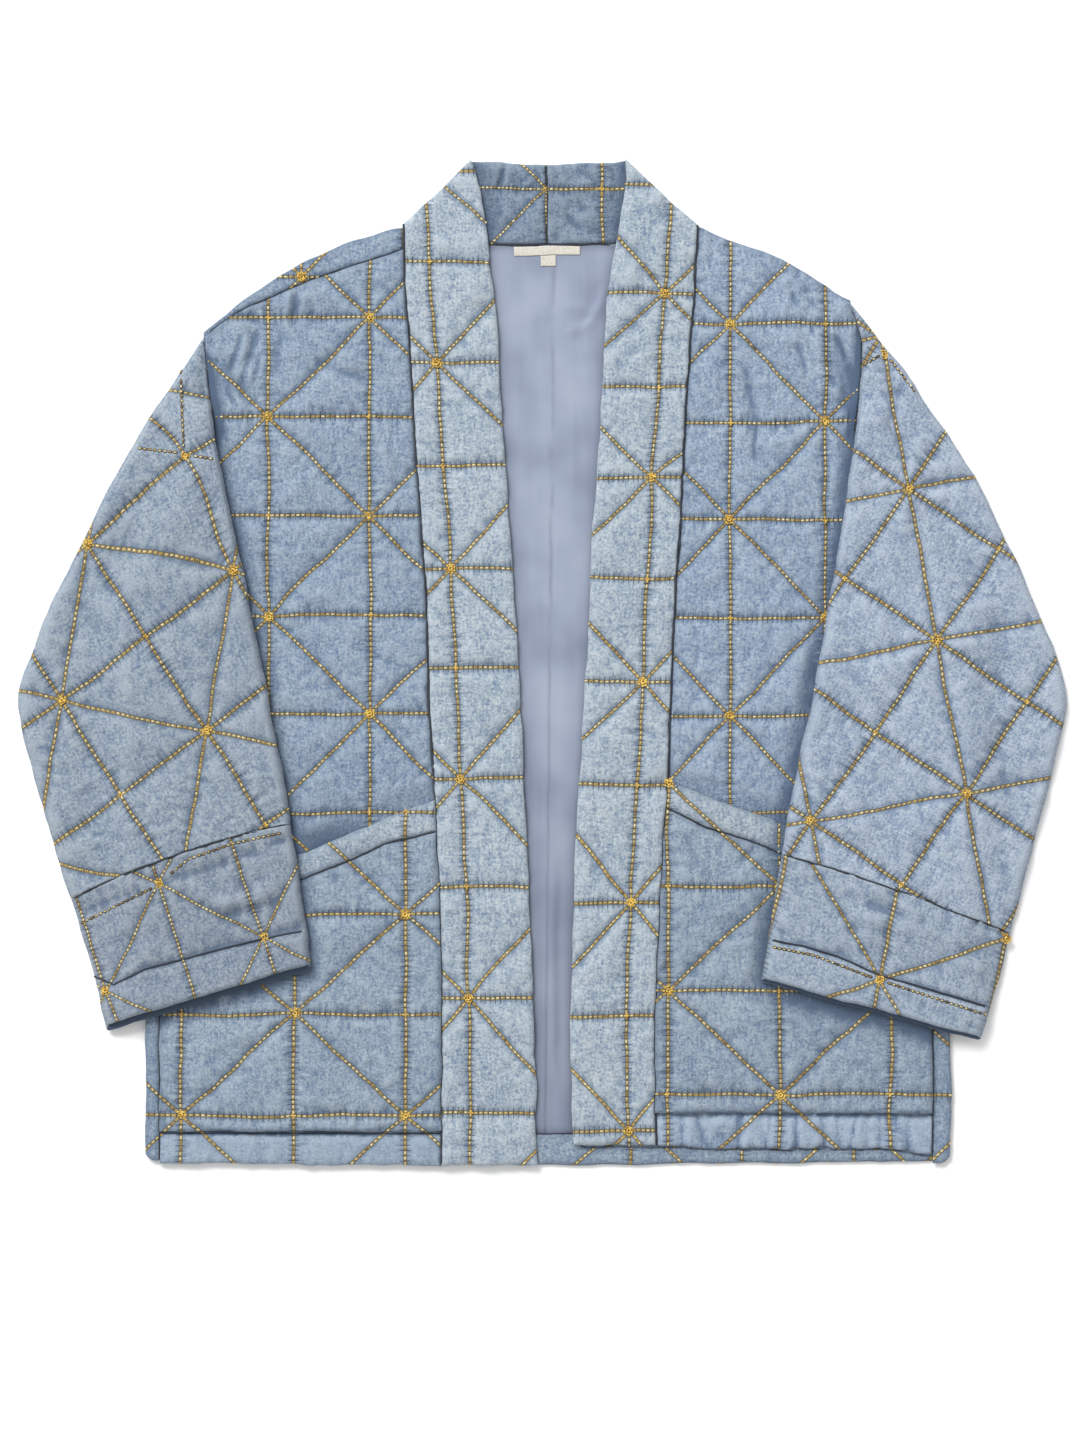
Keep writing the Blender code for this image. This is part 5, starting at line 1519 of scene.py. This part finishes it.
# Navy seam threads, laid in the joins, and a thick navy line along each cuff's crease as
# painted shadow of the fold: points, the nodes whose cloth they lie on, which of these
# nodes each belongs to, and its thickness
seamRadii = {"band": 0.85, "fine": 0.45, "faint": 0.25}
seamStep = 2.0
seamRuns = {
    "band_left": ([(x - 0.1, y) for x, y in outerLine(leftBand)], ["front_left", "band_left"], 1, "band"),
    "band_right": ([(x + 0.1, y) for x, y in outerLine(rightBand)], ["front_right", "band_right"], 1, "band"),
    "hem_left": (leftHemSeam, ["front_left", "pocket_left"], 0, "fine"),
    "side_left": ([(-287.0, -225.0), (-287.0, -372.0)], ["front_left", "pocket_left", "back_side_left"], 1,
                  "fine"),
    "side_right": ([(292.2, -240.0), (292.2, -368.0)], ["front_right", "pocket_right", "back_side_right"], 1,
                   "fine"),
    "facing_left": (leftPocketSeam, ["pocket_left", "pocket_facing_left"], 1, "fine"),
    "facing_right": (rightPocketSeam, ["pocket_right", "pocket_facing_right"], 1, "fine"),
    "shoulder_left": (leftShoulder[1:], ["front_left", "back_shoulder_left"], 1, "faint"),
    "neck": ([(-40.0, 313.5), (50.0, 313.5)], ["lining_back", "collar_left", "collar_right"], 0, "fine"),
    "collar": ([(3.4, 373.0), (3.4, 315.0)], ["collar_left", "collar_right"], 0, "fine"),
    "back_facing": ([(-6.0, -352.9), (24.0, -352.9)], ["lining_back", "back_hem_facing"], 1, "fine"),
    "cuff_left": ([(-352.5, -175.4), (-322.0, -162.2), (-290.0, -150.1), (-260.0, -139.2), (-225.0, -129.0),
                   (-190.5, -120.4)], ["sleeve_left", "cuff_left"], 1, "fine"),
    "cuff_right": ([(181.0, -143.6), (215.0, -153.6), (255.0, -166.5), (295.0, -180.9), (325.0, -192.8),
                    (349.0, -202.4)], ["sleeve_right", "cuff_right"], 1, "fine"),
    # Painted shadow along the cuffs' creases, drawn as thick navy tubes
    "cuff_crease_shadow_left": (leftCrease[1:-1] + [(-180.0, -200.7)], ["cuff_left"], 0, "band"),
    "cuff_crease_shadow_right": ([(172.0, -207.6)] + rightCrease[1:-1] + [(331.0, -256.8)], ["cuff_right"], 0,
                          "band"),
}


def seamPlace(x, y, sideX, sideY, nodes):
    # A place on the lower of the two cloths that meet here, or nothing past their edges
    heights = []
    for aside in (-1.6, -0.9, 0.9, 1.6):
        tops = [surfaceAt(node, x + aside * sideX, y + aside * sideY)[0] for node in nodes]
        tops = [top.z for top in tops if top is not None]
        if tops:
            heights.append(max(tops))
    if not heights:
        return []
    stray = 0.35 * ripple(x / 7, y / 7, 2.2)
    return [((x + stray * sideX) * mm, (y + stray * sideY) * mm, sum(heights) / len(heights) - 0.2 * mm, 1.0)]


def makeSeam(name, points, nodes, owner, radius):
    path = []
    for (x0, y0), (x1, y1) in zip(points, points[1:]):
        length = math.hypot(x1 - x0, y1 - y0)
        sideX, sideY = (y0 - y1) / length, (x1 - x0) / length
        count = max(1, round(length / seamStep))
        lastRun = (x1, y1) == tuple(points[-1])
        for number in range(count + 1 if lastRun else count):
            share = number / count
            path += seamPlace(x0 + share * (x1 - x0), y0 + share * (y1 - y0), sideX, sideY, nodes)
    curve = bpy.data.curves.new(name, "CURVE")
    curve.dimensions = "3D"
    curve.bevel_depth = radius * mm
    curve.bevel_resolution = 1
    curve.use_fill_caps = True
    spline = curve.splines.new("POLY")
    spline.points.add(len(path) - 1)
    for point, place in zip(spline.points, path):
        point.co = place
    item = addObject(name, curve)
    data = bpy.data.meshes.new_from_object(item)
    bpy.data.objects.remove(item)
    data.name = name
    addPiece(name, data, seamThread, owner)


for name, (points, nodes, ownerPlace, kind) in seamRuns.items():
    makeSeam(f"seam_{name}", points, nodes, nodes[ownerPlace], seamRadii[kind])
print("seams made")

for facts in pieceBag.values():
    width, length = facts["flat"]
    print(f"{facts['item'].name}: cut area {facts['area']:.5f} of {width * length:.5f}")
    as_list(facts["with"])

studio = {
    "middle": (0.0004, -0.04575),
    "distance": 5.0,
    "frameHeight": 1.086,
    "worldStrength": 0.72,
    "keyPlace": (-2.7, 4.4, 5.0),
    "keySize": 3.2,
    "keyPower": 530.0,
}
floorMesh = bmesh.new()
bmesh.ops.create_grid(floorMesh, x_segments=2, y_segments=2, size=20.0)
bmesh.ops.translate(floorMesh, vec=(0, 0, -0.0002), verts=floorMesh.verts)
floorData = bpy.data.meshes.new("studio_floor")
floorMesh.to_mesh(floorData)
floorMesh.free()
floorItem = addObject("studio_floor", floorData)
floorMaterial = bpy.data.materials.new("matt_white_paper")
floorMaterial.use_nodes = True
floorShader = floorMaterial.node_tree.nodes["Principled BSDF"]
floorShader.inputs["Base Color"].default_value = linear("#FBFBFB")
floorShader.inputs["Roughness"].default_value = 1.0
floorShader.inputs["Specular IOR Level"].default_value = 0.0
floorData.materials.append(floorMaterial)

world = bpy.data.worlds.new("studio_white")
bpy.context.scene.world = world
world.use_nodes = True
world.node_tree.nodes["Background"].inputs["Color"].default_value = (1, 1, 1, 1)
world.node_tree.nodes["Background"].inputs["Strength"].default_value = studio["worldStrength"]

keyData = bpy.data.lights.new("softbox", "AREA")
keyData.size = studio["keySize"]
keyData.energy = studio["keyPower"]
keyItem = addObject("softbox", keyData)
keyItem.location = studio["keyPlace"]
keyItem.rotation_euler = (-Vector(studio["keyPlace"])).to_track_quat("-Z", "Y").to_euler()

cameraData = bpy.data.cameras.new("overhead_camera")
cameraData.sensor_width = 36.0
cameraData.lens = 36.0 * studio["distance"] / studio["frameHeight"]
cameraItem = addObject("overhead_camera", cameraData)
cameraItem.location = (*studio["middle"], studio["distance"])
bpy.context.scene.camera = cameraItem
bpy.context.scene.view_settings.view_transform = "Standard"
print("studio made")
